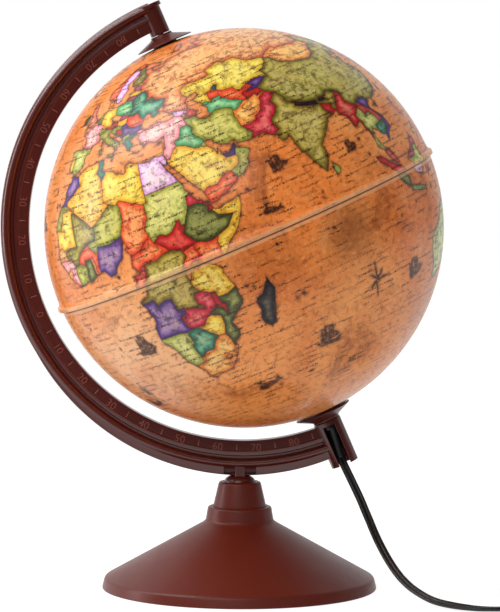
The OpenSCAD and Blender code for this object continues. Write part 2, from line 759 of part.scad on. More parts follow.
module bulb_filament() {
  foot = -contact_top + 1.1 + 2.4 + thread_len - 8;
  lean = 32;
  wire_r = 0.35;
  color(steel) on_axis() translate([0, 0, foot + stem_len + stem_bead_r + 0.25]) {
    for (s = [-1, 1]) rotate([0, s * lean, 0]) cylinder(r = wire_r, h = post_len);
    translate([0, 0, post_len * cos(lean)]) rotate([0, 90, 0])
      cylinder(r = wire_r, h = 2 * post_len * sin(lean), center = true);
  }
}

module cord_relief() {
  hole_deep = 6;
  root = 1;
  color(black) on_axis() {
    disc(sleeve_bore / 2 - seat_fit, -relief_from - relief_collar, -relief_from);
    translate([relief_shift, 0, -relief_from - relief_collar]) rotate([0, relief_lean, 0]) difference() {
      translate([0, 0, -relief_len])
        cylinder(r1 = relief_tip_d / 2, r2 = relief_root_d / 2, h = relief_len + root);
      translate([-cord_w / 2 - cord_fit, -cord_t / 2 - cord_fit, -relief_len - 1])
        cube([cord_w + 2 * cord_fit, cord_t + 2 * cord_fit, hole_deep + 1]);
    }
  }
}

module cord_inner() {
  color(black) on_axis() translate([0, 0, -relief_from + eps]) linear_extrude(relief_from - sheath_from)
    round_rect(cord_w, cord_t, cord_t / 2 - 0.1);
}

module lead_cores() {
  low = -sheath_from + 0.1;
  bend = -holder_rim - skirt_len - 6.4;
  color("#6f9fd0") on_axis() for (s = [-1, 1]) {
    translate([s * 1.4, 0, 0]) disc(1.1, low, bend);
    translate([s * 1.4, 0, bend]) sphere(r = 1.1);
    translate([s * 1.4, 0, bend]) rotate([0, s * 62, 0]) cylinder(r = 1.1, h = 5);
  }
}

module cord_lead() {
  color(black) skin(route_rings(lead_route, 12));
}

module cord_link() {
  color(black) skin(route_rings(link_route, 12));
}

module cord_tail() {
  color(black) skin(route_rings(tail_route, 12));
}

// the coil's turns, between two straight ends that point at the viewer's side
coil_path = concat(
  [for (k = [1, 0.5]) coil_place(0) - [0, k * coil_lead, 0]],
  [for (i = [0 : coil_rings]) coil_place(i / rings_per_turn)],
  [for (k = [0.5, 1]) coil_place(coil_turns) - [0, k * coil_lead, 0]]);
coil_last = len(coil_path) - 1;
function coil_way(i) = i <= 1 ? [0, 1, 0] : i >= coil_last - 1 ? [0, -1, 0]
  : unit(coil_path[i + 1] - coil_path[i - 1]);
function coil_face(i) = let (u = max(0, min(coil_turns, (i - 2) / rings_per_turn)))
  [cos(180 - 360 * u), sin(180 - 360 * u), 0];

// least distance between ring points that are more than half a turn apart
function coil_gap(rings) = min([for (i = [0 : coil_last], j = [i + rings_per_turn / 2 : coil_last])
  if (norm(coil_path[i] - coil_path[j]) < 3 * cord_w) min([for (a = rings[i], b = rings[j]) norm(a - b)])]);

module cord_coil() {
  rings = [for (i = [0 : coil_last]) cord_ring(coil_path[i], coil_way(i), coil_face(i), coil_sides)];
  echo(str("least gap of the coil to itself, mm: ", coil_gap(rings)));
  echo(str("cord from relief to plug, mm: ", run_length([for (p = lead_route) p[0]])
    + run_length([for (p = link_route) p[0]]) + run_length([for (p = tail_route) p[0]])
    + run_length(coil_path) + switch_len));
  color(black) skin(rings);
}

module coil_tie() {
  inner = coil_r - coil_step * (coil_turns / 2 - 0.5) - cord_t / 2 - tie_fit;
  outer = coil_r - coil_step / 4 + cord_t / 2 + tie_fit;
  top = coil_at[2] + coil_layer + cord_w / 2 + tie_fit;
  color(black) translate([coil_at[0] - tie_w / 2, coil_at[1], 0]) difference() {
    translate([0, inner - tie_t, 0]) cube([tie_w, outer - inner + 2 * tie_t, top + tie_t]);
    translate([-1, inner, tie_t]) cube([tie_w + 2, outer - inner, top - tie_t]);
  }
}

module switch_outline(inset) {
  round_rect(switch_w - 2 * inset, switch_mid - 2 * inset, 6 - inset);
  round_rect(nose_w - 2 * inset, switch_len - 2 * inset, 3 - inset / 2);
}

module cord_slots() {
  for (s = [-1, 1]) translate([0, s * (switch_len / 2 - 2), switch_low_h])
    cube([cord_w + 2 * cord_fit, 8, cord_t + 2 * cord_fit], center = true);
}

screw_at = switch_mid / 2 - 4;

module switch_base() {
  color(black) translate(switch_at) difference() {
    linear_extrude(switch_low_h) switch_outline(0);
    translate([0, 0, switch_wall]) linear_extrude(switch_low_h) difference() {
      switch_outline(switch_wall);
      for (s = [-1, 1]) translate([s * 6.6, s * screw_at]) circle(2.6);
    }
    for (s = [-1, 1]) translate([s * 6.6, s * screw_at, 0]) {
      disc(1.6, -1, switch_low_h + 1);
      disc(2.4, -1, 1.4);
    }
    cord_slots();
  }
}

module switch_cover() {
  top = switch_low_h + switch_up_h;
  window_l = rocker_len + 2 * rocker_fit;
  color(black) translate(switch_at) difference() {
    union() {
      difference() {
        translate([0, 0, switch_low_h]) linear_extrude(switch_up_h) switch_outline(0);
        translate([0, 0, switch_low_h - 1]) linear_extrude(switch_up_h - switch_wall + 1) difference() {
          switch_outline(switch_wall);
          for (s = [-1, 1]) translate([s * 6.6, s * screw_at]) circle(2.6);
        }
      }
      for (s = [-1, 1]) translate([s * (rocker_w / 2 + rocker_fit + 0.8), 0, top - 2.6])
        cube([1.6, 6, 5.2], center = true);
    }
    translate([0, 0, top]) cube([rocker_w + 2 * rocker_fit, window_l, 8], center = true);
    translate([0, 0, rocker_axis_z]) rotate([0, 90, 0])
      cylinder(r = 1 + turn_fit, h = rocker_w + 4, center = true);
    for (s = [-1, 1]) translate([s * 6.6, s * screw_at, 0]) disc(1.2, 0, top - 2.2);
    cord_slots();
  }
}

rocker_axis_z = switch_low_h + switch_up_h - 3;

module switch_rocker() {
  r = rocker_len / 2;
  color(black) translate(switch_at + [0, 0, rocker_axis_z]) rotate([rocker_swing / 2, 0, 0]) {
    rotate([90, 0, 90]) translate([0, 0, -rocker_w / 2]) linear_extrude(rocker_w) intersection() {
      circle(r);
      polygon([[-r, -1.6], [r, -1.6], [r, 4.9], [0, 3.7], [-r, 4.9]]);
    }
    rotate([0, 90, 0]) cylinder(r = 1, h = rocker_w + 2 * rocker_fit + 2.4, center = true);
  }
}

module switch_contacts() {
  color(brass) translate(switch_at) for (s = [-1, 1]) translate([-1.5, s * 9 - 5, switch_wall])
    cube([3, 10, 1.2]);
}

module switch_screws() {
  color(steel) translate(switch_at) for (s = [-1, 1]) translate([s * 6.6, s * screw_at, 0]) difference() {
    union() {
      disc(2.3, 0.3, 1.3);
      disc(1.15, 1.2, 10);
    }
    cube([6, 0.7, 1.8], center = true);
  }
}

module plug_relief() {
  color(black) translate(plug_at) difference() {
    translate([0, 2, 0]) rotate([90, 0, 0]) scale([1, 0.8, 1])
      cylinder(r1 = 4, r2 = 6.6, h = plug_relief_len);
    translate([-cord_w / 2 - cord_fit, -4, -cord_t / 2 - cord_fit])
      cube([cord_w + 2 * cord_fit, 8, cord_t + 2 * cord_fit]);
  }
}

module plug_body() {
  from = 2 - plug_relief_len;
  to = from - plug_len;
  half = plug_w / 2;
  color(black) translate(plug_at) difference() {
    intersection() {
      translate([0, 0, -plug_t / 2]) linear_extrude(plug_t) polygon([[-7, from], [7, from],
        [half * 0.72, from - 8], [half, from - 19], [half, to + 1], [half - 1, to],
        [1 - half, to], [-half, to + 1], [-half, from - 19], [-half * 0.72, from - 8]]);
      translate([0, from + 1, 0]) rotate([90, 0, 0]) linear_extrude(plug_len + 2)
        round_rect(plug_w, plug_t, 5);
    }
    for (s = [-1, 1]) translate([s * pin_gap / 2, to - 1, 0]) rotate([-90, 0, 0])
      cylinder(r = plug_pin_d / 2 - 0.55, h = pin_root + 2);
  }
}

module plug_sleeves() {
  to = 2 - plug_relief_len - plug_len;
  color(black) translate(plug_at) for (s = [-1, 1]) translate([s * pin_gap / 2, to, 0])
    rotate([90, 0, 0]) tube(plug_pin_d / 2 - 0.25, plug_pin_d / 2 - 0.55, 0, pin_sleeve_len);
}

module plug_pins() {
  to = 2 - plug_relief_len - plug_len;
  r = plug_pin_d / 2;
  color(steel) translate(plug_at) for (s = [-1, 1]) translate([s * pin_gap / 2, to, 0])
    rotate([90, 0, 0]) {
      disc(r - 0.6, -pin_root, pin_sleeve_len + 1);
      disc(r, pin_sleeve_len, plug_pin_len - 1);
      translate([0, 0, plug_pin_len - 1 - eps]) cylinder(r1 = r, r2 = r - 1, h = 1);
    }
}

base_shell();
neck_sleeve();
base_washer();
base_screw();
arm();
north_pin();
north_cap();
north_shell();
south_shell();
south_cap();
lamp_tube();
holder_cap();
holder_skirt();
holder_insert();
thread_contact();
centre_contact();
terminal_screws();
bulb_glass();
bulb_screw_cap();
bulb_insulator();
bulb_tip();
bulb_stem();
bulb_filament();
cord_relief();
cord_inner();
lead_cores();
cord_lead();
switch_base();
switch_cover();
switch_rocker();
switch_contacts();
switch_screws();
cord_link();
cord_coil();
coil_tie();
cord_tail();
plug_relief();
plug_body();
plug_sleeves();
plug_pins();
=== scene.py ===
"""Illuminated desk globe: the looks of every piece, in metres, in the model's own frame."""
import json
import logging
from dataclasses import dataclass, field
from enum import Enum
from functools import reduce
from math import acos, asin, atan2, ceil, cos, degrees, hypot, pi, radians, sin, sqrt

import bmesh
import bpy
from mathutils import Matrix, Vector, kdtree
from mathutils.geometry import delaunay_2d_cdt


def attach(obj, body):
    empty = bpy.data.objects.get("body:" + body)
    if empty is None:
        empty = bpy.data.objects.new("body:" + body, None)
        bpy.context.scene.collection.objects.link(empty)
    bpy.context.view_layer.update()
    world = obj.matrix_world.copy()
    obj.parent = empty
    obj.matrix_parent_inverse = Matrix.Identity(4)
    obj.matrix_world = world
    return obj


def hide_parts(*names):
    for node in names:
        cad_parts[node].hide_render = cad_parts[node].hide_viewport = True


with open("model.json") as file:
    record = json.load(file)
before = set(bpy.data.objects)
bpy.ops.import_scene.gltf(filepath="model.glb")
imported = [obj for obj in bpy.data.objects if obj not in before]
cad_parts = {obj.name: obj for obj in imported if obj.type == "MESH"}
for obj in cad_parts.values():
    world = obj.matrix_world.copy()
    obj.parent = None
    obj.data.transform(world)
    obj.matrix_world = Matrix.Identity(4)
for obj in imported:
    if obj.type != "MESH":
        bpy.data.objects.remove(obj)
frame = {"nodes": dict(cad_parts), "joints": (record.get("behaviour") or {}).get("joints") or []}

logging.basicConfig(level=logging.INFO, format="%(message)s")
log = logging.getLogger("globe")

MM = 0.001
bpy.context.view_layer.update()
BALL_R = 130.0
MERIDIAN = 47.5

Point = tuple[float, float, float]
Flat = tuple[float, float]
Colour = tuple[float, float, float, float]
Edge = tuple[int, int]
Shown = tuple[Colour, float, float]
Object = bpy.types.Object
Mesh = bmesh.types.BMesh
Material = bpy.types.Material

WHITE: Colour = (1.0, 1.0, 1.0, 1.0)


class Body(Enum):
    """The bodies that pieces ride on."""

    STAND = "stand"
    GLOBE = "globe"
    ROCKER = "rocker"


class Combine(Enum):
    """How two closed solids are put together."""

    JOIN = "UNION"
    CUT = "DIFFERENCE"


def rgb(red: float, green: float, blue: float) -> Colour:
    """A display colour as the linear colour that a shader takes.

    Args:
        red: Red from 0 to 255.
        green: Green from 0 to 255.
        blue: Blue from 0 to 255.

    Returns:
        The linear colour with full alpha.
    """
    parts = [value / 255 for value in (red, green, blue)]
    linear = [part / 12.92 if part <= 0.04045 else ((part + 0.055) / 1.055) ** 2.4 for part in parts]
    return (linear[0], linear[1], linear[2], 1.0)


def toned(colour: Colour, factor: float) -> Colour:
    """The same colour, lighter or darker by a factor."""
    return (colour[0] * factor, colour[1] * factor, colour[2] * factor, 1.0)


def linked(name: str, data: bpy.types.ID) -> Object:
    """A new object in the scene."""
    made = bpy.data.objects.new(name, data)
    bpy.context.scene.collection.objects.link(made)
    return made


def polar(angle: float, reach: float = 1.0) -> Vector:
    """The flat vector of an angle and a length."""
    return Vector((reach * cos(angle), reach * sin(angle)))


def drawn(text: str, parts: int = 1) -> list[list[tuple]]:
    """Reads lines, parted by semicolons, of rows, parted by commas, of numbers in parts of a unit."""
    return [[tuple(float(number) / parts for number in row.split()) for row in line.split(",")]
            for line in text.split(";")]


def finder(spots: list[Vector]) -> kdtree.KDTree:
    """A tree that finds the nearest of some flat spots.

    Args:
        spots: The spots, found again by their numbers.

    Returns:
        The tree.
    """
    tree = kdtree.KDTree(len(spots))
    for number, spot in enumerate(spots):
        tree.insert(spot.to_3d(), number)
    tree.balance()
    return tree


@dataclass
class Axis:
    """The globe's leaning axis, read from its joint, in millimetres."""

    centre: Vector = field(default_factory=Vector)
    north: Vector = field(default_factory=Vector)
    lean: float = 0.0

    def __post_init__(self) -> None:
        """Reads the joint's place and direction."""
        spin = next(joint for joint in frame["joints"] if joint["name"] == "globe_spin")
        self.centre = Vector(spin["pos_m"]) / MM
        self.north = Vector(spin["axis"]).normalized()
        self.lean = asin(-self.north.x)

    def up(self) -> Matrix:
        """Places a shape whose Z runs north from the ball's centre."""
        return Matrix.Translation(self.centre) @ Matrix.Rotation(-self.lean, 4, "Y")

    def down(self) -> Matrix:
        """Places a shape whose Z runs south from the ball's centre."""
        return self.up() @ Matrix.Rotation(pi, 4, "X")

    def on_ball(self, lon: float, lat: float) -> Point:
        """A place on the ball from degrees east and north, in metres."""
        east, north = radians(lon - MERIDIAN), radians(lat)
        spot = Vector((cos(north) * sin(east), -cos(north) * cos(east), sin(north)))
        return tuple((self.up() @ (spot * BALL_R)) * MM)


class Sock:
    """An output of a node tree: arithmetic on it adds the Math nodes."""

    def __init__(self, tree: "Tree", out: bpy.types.NodeSocket) -> None:
        """Wraps one output socket."""
        self.tree = tree
        self.out = out

    def _math(self, operation: str, *values: "Sock | float") -> "Sock":
        """One Math node."""
        return self.tree.node("ShaderNodeMath", {"operation": operation}, dict(enumerate(values)))

    def __add__(self, other: "Sock | float") -> "Sock":
        """Sum."""
        return self._math("ADD", self, other)

    def __radd__(self, other: float) -> "Sock":
        """Sum with a number on the left."""
        return self._math("ADD", other, self)

    def __sub__(self, other: "Sock | float") -> "Sock":
        """Difference."""
        return self._math("SUBTRACT", self, other)

    def __rsub__(self, other: float) -> "Sock":
        """Difference from a number on the left."""
        return self._math("SUBTRACT", other, self)

    def __mul__(self, other: "Sock | float") -> "Sock":
        """Product."""
        return self._math("MULTIPLY", self, other)

    def __rmul__(self, other: float) -> "Sock":
        """Product with a number on the left."""
        return self._math("MULTIPLY", other, self)

    def of(self, operation: str) -> "Sock":
        """A function of this number alone."""
        return self._math(operation, self)

    def peak(self, other: "Sock") -> "Sock":
        """The larger of two."""
        return self._math("MAXIMUM", self, other)

    def band(self, low: float, high: float) -> "Sock":
        """A soft step from 0 at low to 1 at high."""
        settings = {"interpolation_type": "SMOOTHSTEP", "clamp": True}
        sockets = {"Value": self, "From Min": low, "From Max": high, "To Min": 0.0, "To Max": 1.0}
        return self.tree.node("ShaderNodeMapRange", settings, sockets)


class Tree:
    """A node tree, built node by node."""

    def __init__(self, tree: bpy.types.NodeTree) -> None:
        """Wraps a tree."""
        self.tree = tree

    def node(self, kind: str, settings: dict | None = None, sockets: dict | None = None,
             out: int | str = 0) -> Sock:
        """Adds a node.

        Args:
            kind: The node's type.
            settings: Its settings, set first.
            sockets: Values or links of its inputs, by name or number.
            out: Which output is wanted.

        Returns:
            That output.
        """
        made = self.tree.nodes.new(kind)
        for key, value in (settings or {}).items():
            setattr(made, key, value)
        for key, value in (sockets or {}).items():
            if isinstance(value, Sock):
                self.tree.links.new(value.out, made.inputs[key])
            else:
                made.inputs[key].default_value = value
        return Sock(self, made.outputs[out])

    def end(self, last: Sock, kind: str) -> None:
        """Links the last node to an output node of that type."""
        self.tree.links.new(last.out, self.tree.nodes.new(kind).inputs[0])


class Shader(Tree):
    """The node tree of one material."""

    def __init__(self, name: str, store: bpy.types.bpy_prop_collection | None = None) -> None:
        """Starts a material of that name, or a world where its store is given."""
        self.material = (bpy.data.materials if store is None else store).new(name)
        self.material.use_nodes = True
        super().__init__(self.material.node_tree)
        self.tree.nodes.clear()

    def coords(self) -> Sock:
        """Object coordinates."""
        return self.node("ShaderNodeTexCoord", out="Object")

    def place(self, stretch: Point = (1.0, 1.0, 1.0), turn: Point = (0.0, 0.0, 0.0),
              where: Sock | None = None) -> Sock:
        """Object coordinates, or others where given, stretched or turned by a Mapping node."""
        sockets = {"Vector": self.coords() if where is None else where, "Scale": stretch, "Rotation": turn}
        return self.node("ShaderNodeMapping", None, sockets)

    def attribute(self, name: str, out: str = "Fac") -> Sock:
        """An attribute of the mesh."""
        return self.node("ShaderNodeAttribute", {"attribute_name": name}, out=out)

    def measure(self, operation: str, first: Sock, second: Point) -> Sock:
        """A number from one Vector Math node."""
        return self.node("ShaderNodeVectorMath", {"operation": operation}, {0: first, 1: second}, out="Value")

    def noise(self, scale: float, detail: float, where: Sock, rough: float = 0.55, warp: float = 0.0) -> Sock:
        """A noise value from 0 to 1.

        Args:
            scale: Waves to the metre.
            detail: Octaves.
            where: Coordinates to read.
            rough: How strong the finer octaves are.
            warp: Distortion.

        Returns:
            The noise.
        """
        sockets = {"Vector": where, "Scale": scale, "Detail": detail, "Roughness": rough, "Distortion": warp}
        return self.node("ShaderNodeTexNoise", None, sockets)

    def mix(self, share: Sock | float, first: Sock | Colour, second: Sock | Colour,
            blend: str = "MIX") -> Sock:
        """Mixes two colours.

        Args:
            share: How much of the second.
            first: First colour.
            second: Second colour.
            blend: The way they blend.

        Returns:
            The mixed colour.
        """
        settings = {"data_type": "RGBA", "blend_type": blend}
        return self.node("ShaderNodeMix", settings, {0: share, 6: first, 7: second}, out=2)

    def layered(self, base: Sock, *layers: tuple) -> Sock:
        """Lays colours over a base, each row its share, its colour and, where given, its way to blend."""
        for share, colour, *blend in layers:
            base = self.mix(share, base, colour, *blend)
        return base

    def bump(self, height: Sock, strength: float, depth: float) -> Sock:
        """A normal from a height: share of the effect, and the depth of a height of 1 in metres."""
        return self.node("ShaderNodeBump", None, {"Height": height, "Strength": strength, "Distance": depth})

    def surface(self, base: Sock, rough: Sock, normal: Sock, fixed: dict) -> Material:
        """Ends the tree in a Principled shader.

        Args:
            base: The colour.
            rough: The roughness.
            normal: The normal.
            fixed: Values set on the shader's other sockets.

        Returns:
            The finished material.
        """
        sockets = {**fixed, "Base Color": base, "Roughness": rough, "Normal": normal}
        self.end(self.node("ShaderNodeBsdfPrincipled", None, sockets), "ShaderNodeOutputMaterial")
        return self.material


@dataclass(frozen=True)
class Plastic:
    """Moulded plastic: faint flow marks, satin grain and patches rubbed smoother."""

    name: str
    colour: Colour
    rough: float = 0.34
    coat: float = 0.2
    grain: float = 0.16
    flow: float = 0.14
    shine: float = 0.3
    polish: float = 0.2

    def material(self) -> Material:
        """Builds the material."""
        shader = Shader(self.name)
        flow = shader.noise(16.0, 3.0, shader.place((1.0, 1.0, 0.4)), warp=0.6)
        rub = shader.noise(60.0, 5.0, shader.place(), rough=0.65)
        pores = shader.noise(1500.0, 2.0, shader.place())
        base = shader.mix(flow, toned(self.colour, 1 - self.flow), toned(self.colour, 1 + self.flow))
        base = shader.mix(rub.band(0.55, 0.8) * 0.25, base, toned(self.colour, 1.35))
        normal = shader.bump(pores * 0.7 + rub * 0.3, self.grain, 0.0004)
        return shader.surface(base, self.rough + (rub - 0.5) * 0.16, normal, {
            "Coat Weight": self.coat, "Coat Roughness": self.polish, "IOR": 1.49,
            "Specular IOR Level": self.shine})


@dataclass(frozen=True)
class Vinyl:
    """Soft black vinyl of the cord, with fine drag marks along its length."""

    name: str
    colour: Colour
    rough: float = 0.36

    def material(self) -> Material:
        """Builds the material from the cord's own UV map."""
        shader = Shader(self.name)
        along = shader.node("ShaderNodeUVMap", {"uv_map": "run"})
        marks = shader.noise(4.0, 4.0, shader.place((14.0, 60.0, 1.0), where=along), rough=0.6)
        dust = shader.noise(90.0, 4.0, shader.place())
        base = shader.mix(dust.band(0.5, 0.85) * 0.35, self.colour, toned(self.colour, 3.2))
        return shader.surface(base, self.rough + (marks - 0.5) * 0.18, shader.bump(marks, 0.12, 0.0003), {
            "Specular IOR Level": 0.5, "Coat Weight": 0.08, "Coat Roughness": 0.3})


@dataclass(frozen=True)
class Metal:
    """Turned, stamped or plated metal, dulled in patches."""

    name: str
    colour: Colour
    rough: float = 0.25
    tarnish: Colour = (0.05, 0.04, 0.03, 1.0)

    def material(self) -> Material:
        """Builds the material."""
        shader = Shader(self.name)
        lines = shader.noise(2600.0, 2.0, shader.place((0.05, 1.0, 1.0)))
        patches = shader.noise(130.0, 5.0, shader.place(), rough=0.7)
        base = shader.mix(patches.band(0.55, 0.9) * 0.5, self.colour, self.tarnish)
        normal = shader.bump(lines, 0.12, 0.0001)
        return shader.surface(base, self.rough + patches * 0.2, normal, {"Metallic": 1.0})


@dataclass(frozen=True)
class Glass:
    """Thin blown glass with a light frost inside."""

    name: str
    colour: Colour
    rough: float = 0.25

    def material(self) -> Material:
        """Builds the material."""
        shader = Shader(self.name)
        frost = shader.noise(420.0, 4.0, shader.place())
        base = shader.mix(frost, toned(self.colour, 0.94), self.colour)
        return shader.surface(base, self.rough + frost * 0.2, shader.bump(frost, 0.05, 0.0001), {
            "Transmission Weight": 0.85, "IOR": 1.5})


@dataclass(frozen=True)
class MapPrint:
    """The varnished print on the ball, coloured by the shell's own attributes."""

    name: str
    axis: Axis
    ink: Colour = rgb(58, 26, 14)
    blooms: tuple = (
        (66.0, 8.0, 20.0, 62.0, rgb(240, 128, 48), 0.9), (77.0, -10.0, 4.0, 32.0, rgb(104, 50, 22), 0.66),
        (103.0, -12.0, 10.0, 55.0, rgb(206, 98, 18), 0.8), (50.0, -8.0, 4.0, 34.0, rgb(168, 78, 30), 0.6),
        (-4.0, -22.0, 20.0, 75.0, rgb(240, 184, 136), 0.9), (60.0, -62.0, 10.0, 80.0, rgb(248, 164, 92), 0.8),
        (70.0, -32.0, 10.0, 50.0, rgb(232, 156, 88), 0.7), (-12.0, 2.0, 10.0, 50.0, rgb(226, 134, 66), 0.7),
        (120.0, -38.0, 10.0, 60.0, rgb(184, 106, 62), 0.7), (-28.0, 30.0, 20.0, 70.0, rgb(222, 136, 74), 0.7),
        (-120.0, 10.0, 30.0, 150.0, rgb(204, 126, 70), 0.5),
    )

    def _near(self, shader: Shader, lon: float, lat: float, inner: float, outer: float) -> Sock:
        """One round a place on the ball, falling to nothing between two distances in millimetres."""
        far = shader.measure("DISTANCE", shader.coords(), self.axis.on_ball(lon, lat))
        return far.band(outer * MM, inner * MM)

    def _level(self, shader: Shader, height: float, inner: float, outer: float) -> Sock:
        """One near a height above the equator, in millimetres, falling to nothing on both sides.

        Args:
            shader: The shader.
            height: Height above the equator.
            inner: Distance up to which it is one.
            outer: Distance past which it is nothing.

        Returns:
            The mask.
        """
        base = tuple((self.axis.centre + self.axis.north * height) * MM)
        off = shader.node("ShaderNodeVectorMath", {"operation": "SUBTRACT"}, {0: shader.coords(), 1: base})
        away = shader.measure("DOT_PRODUCT", off, tuple(self.axis.north)).of("ABSOLUTE")
        return away.band(outer * MM, inner * MM)

    def _strokes(self, shader: Shader, edge: Sock) -> Sock:
        """Rows of fine engraved strokes, thickest along the coasts.

        Args:
            shader: The shader.
            edge: Distance from the nearest border, in millimetres.

        Returns:
            One on a stroke, nothing between strokes.
        """
        sheet = shader.node("ShaderNodeUVMap", {"uv_map": "sheet"})
        rows = shader.node("ShaderNodeTexWave", {"wave_type": "BANDS", "bands_direction": "Y"}, {
            "Vector": sheet, "Scale": 76.0, "Distortion": 0.4, "Detail": 1.0, "Detail Scale": 0.6}, out="Fac")
        dots = shader.noise(1500.0, 1.0, shader.place((1.0, 0.55, 1.0), where=sheet), rough=0.5)
        words = shader.noise(210.0, 1.0, shader.place((0.32, 1.0, 1.0), where=sheet), rough=0.4)
        inked = dots.band(0.46, 0.54) * words.band(0.5, 0.55) * rows.band(0.62, 0.82)
        return inked * (0.5 + 0.5 * (1.0 - edge.band(6.0, 16.0)))

    def material(self) -> Material:
        """Builds the material: the sea's wash, the land's tints over it, then the print, with a painted
        highlight on the equator's lip and a painted shade line under it.
        """
        shader = Shader(self.name)
        where = shader.place()
        land = shader.attribute("region", "Color")
        inland, inked = shader.attribute("is_land"), shader.attribute("inked")
        edge = shader.attribute("edge_mm") + (shader.noise(1200.0, 2.0, where, rough=0.6) - 0.5) * 1.1
        blotch = shader.noise(30.0, 7.0, where, rough=0.64, warp=0.8)
        cloud = shader.noise(11.0, 5.0, where, warp=1.2)
        hills = shader.noise(190.0, 6.0, where, rough=0.7, warp=0.5)
        fibre = shader.noise(300.0, 5.0, shader.place((1.0, 0.3, 1.0), (0.4, 0.2, 0.7)), rough=0.72)
        brush = shader.noise(120.0, 4.0, shader.place((0.25, 1.0, 1.0), (0.0, 0.5, 0.0)), rough=0.6)
        faint = 0.45 + cloud.band(0.34, 0.66) * 0.55
        sea = shader.layered(
            shader.mix(cloud.band(0.3, 0.72), rgb(214, 112, 42), rgb(240, 154, 82)),
            *((self._near(shader, *spot) * faint * share, colour) for *spot, colour, share in self.blooms),
            (blotch.band(0.53, 0.74) * 0.72, rgb(138, 62, 20)),
            (blotch.band(0.46, 0.24) * 0.45, rgb(236, 172, 112)),
            (brush.band(0.5, 0.85) * 0.35, rgb(160, 82, 30)),
            (fibre.band(0.49, 0.68) * 0.55, rgb(122, 54, 16)),
            (fibre.band(0.47, 0.28) * 0.4, rgb(246, 182, 108)),
            ((1.0 - edge.band(0.2, 2.6)) * (0.35 + fibre.band(0.4, 0.6) * 0.5), rgb(92, 44, 20)),
        )
        own = shader.mix(0.85, land, land, "MULTIPLY")
        deep = shader.mix(0.8, own, land, "MULTIPLY")
        aged = shader.layered(
            shader.mix(0.5, land, rgb(250, 236, 180), "SOFT_LIGHT"),
            (edge.band(1.6, 7.0) * (0.05 + cloud.band(0.35, 0.6) * 0.15), rgb(246, 228, 172)),
            ((1.0 - edge.band(0.8, 4.2)) * 0.85, own),
            ((1.0 - edge.band(0.4, 2.4)) * (0.3 + fibre.band(0.35, 0.6) * 0.5), deep),
            (brush.band(0.5, 0.85) * 0.3, own),
            (blotch.band(0.48, 0.78) * 0.45, rgb(168, 96, 40), "DARKEN"),
            (cloud.band(0.6, 0.3) * 0.3, rgb(250, 222, 170), "SOFT_LIGHT"),
            (hills.band(0.48, 0.6) * 0.7, own),
            (hills.band(0.56, 0.66) * (0.35 + blotch.band(0.4, 0.6) * 0.4), rgb(84, 52, 26)),
            (hills.band(0.44, 0.34) * 0.6, rgb(252, 236, 190), "SOFT_LIGHT"),
            (fibre.band(0.5, 0.66) * 0.6, rgb(74, 48, 24)),
        )
        base = shader.layered(
            shader.mix(inland, sea, aged),
            (self._strokes(shader, edge), self.ink),
            (inked * (0.55 + fibre.band(0.35, 0.6) * 0.4), self.ink),
            ((1.0 - edge.band(0.15, 0.6)) * (0.45 + fibre * 0.5), self.ink),
            # A lighter band across the equator's lip: painted highlight.
            (self._level(shader, -3.0, 2.4, 3.4) * 0.4, rgb(250, 196, 146)),
            # A dark line just under the lip: painted shade.
            (self._level(shader, -3.3, 0.3, 0.9) * 0.75, rgb(70, 34, 18)),
        )
        return shader.surface(base, 0.4 + fibre * 0.12, shader.bump(fibre * 0.5 + blotch * 0.5, 0.05, 0.0004), {
            "Coat Weight": 0.55, "Coat Roughness": 0.26, "IOR": 1.5, "Specular IOR Level": 0.1})


class Finishes:
    """Every material of the globe, made once."""

    def __init__(self, axis: Axis) -> None:
        """Builds the materials, each under the record's slot name.

        Args:
            axis: The globe's axis, which the print is laid out on.
        """
        finishes = (
            Plastic("foot_brown", rgb(92, 28, 16), rough=0.42, coat=0.05, grain=0.2, shine=0.3),
            Plastic("arm_brown", rgb(78, 18, 9), rough=0.34, coat=0.5, grain=0.12, shine=0.45, polish=0.18),
            Plastic("cap_brown", rgb(76, 24, 16), rough=0.34, coat=0.14, shine=0.3),
            MapPrint("map_shell", axis),
            Metal("steel", rgb(188, 190, 194)),
            Plastic("black_plastic", rgb(22, 22, 24), rough=0.38, coat=0.15),
            Plastic("cream_plastic", rgb(228, 222, 206), rough=0.45, coat=0.1, flow=0.05),
            Metal("brass", rgb(206, 166, 86), tarnish=rgb(96, 70, 30)),
            Glass("lamp_glass", rgb(250, 247, 240)),
            Metal("lamp_cap", rgb(196, 190, 172), rough=0.3),
            Plastic("lamp_insulator", rgb(18, 16, 20), rough=0.2, coat=0.5),
            Metal("filament", rgb(120, 118, 116), rough=0.4),
            Vinyl("cord_black", rgb(16, 16, 17)),
            Plastic("tie_black", rgb(20, 20, 21), rough=0.5, coat=0.05),
            Plastic("lead_blue", rgb(96, 142, 196), rough=0.4, coat=0.1),
            Metal("pin_nickel", rgb(206, 204, 198), rough=0.16),
        )
        self.by_slot = {finish.name: finish.material() for finish in finishes}
        self.inside = Plastic("shell_inside", rgb(236, 226, 208), rough=0.5, coat=0.05, flow=0.05).material()
        # The numbers and marks are moulded in the arm's own plastic; this lighter pink is a painted highlight
        # for the glints on their edges.
        self.raised = Plastic("arm_raised", rgb(132, 66, 56), rough=0.3, coat=0.4, shine=0.5).material()


def dress(piece: Object, body: Body, slot: str, *nodes: str) -> Object:
    """Hands a finished piece to the frame.

    Args:
        piece: The piece, with its place in its mesh.
        body: The body that it rides on.
        slot: The record's material slot; not used.
        nodes: The CAD nodes that it stands for.

    Returns:
        The same piece.
    """
    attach(piece, body.value)
    if nodes:
        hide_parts(*nodes)
    log.info("piece %s on %s, %d faces", piece.name, body.value, len(piece.data.polygons))
    return piece


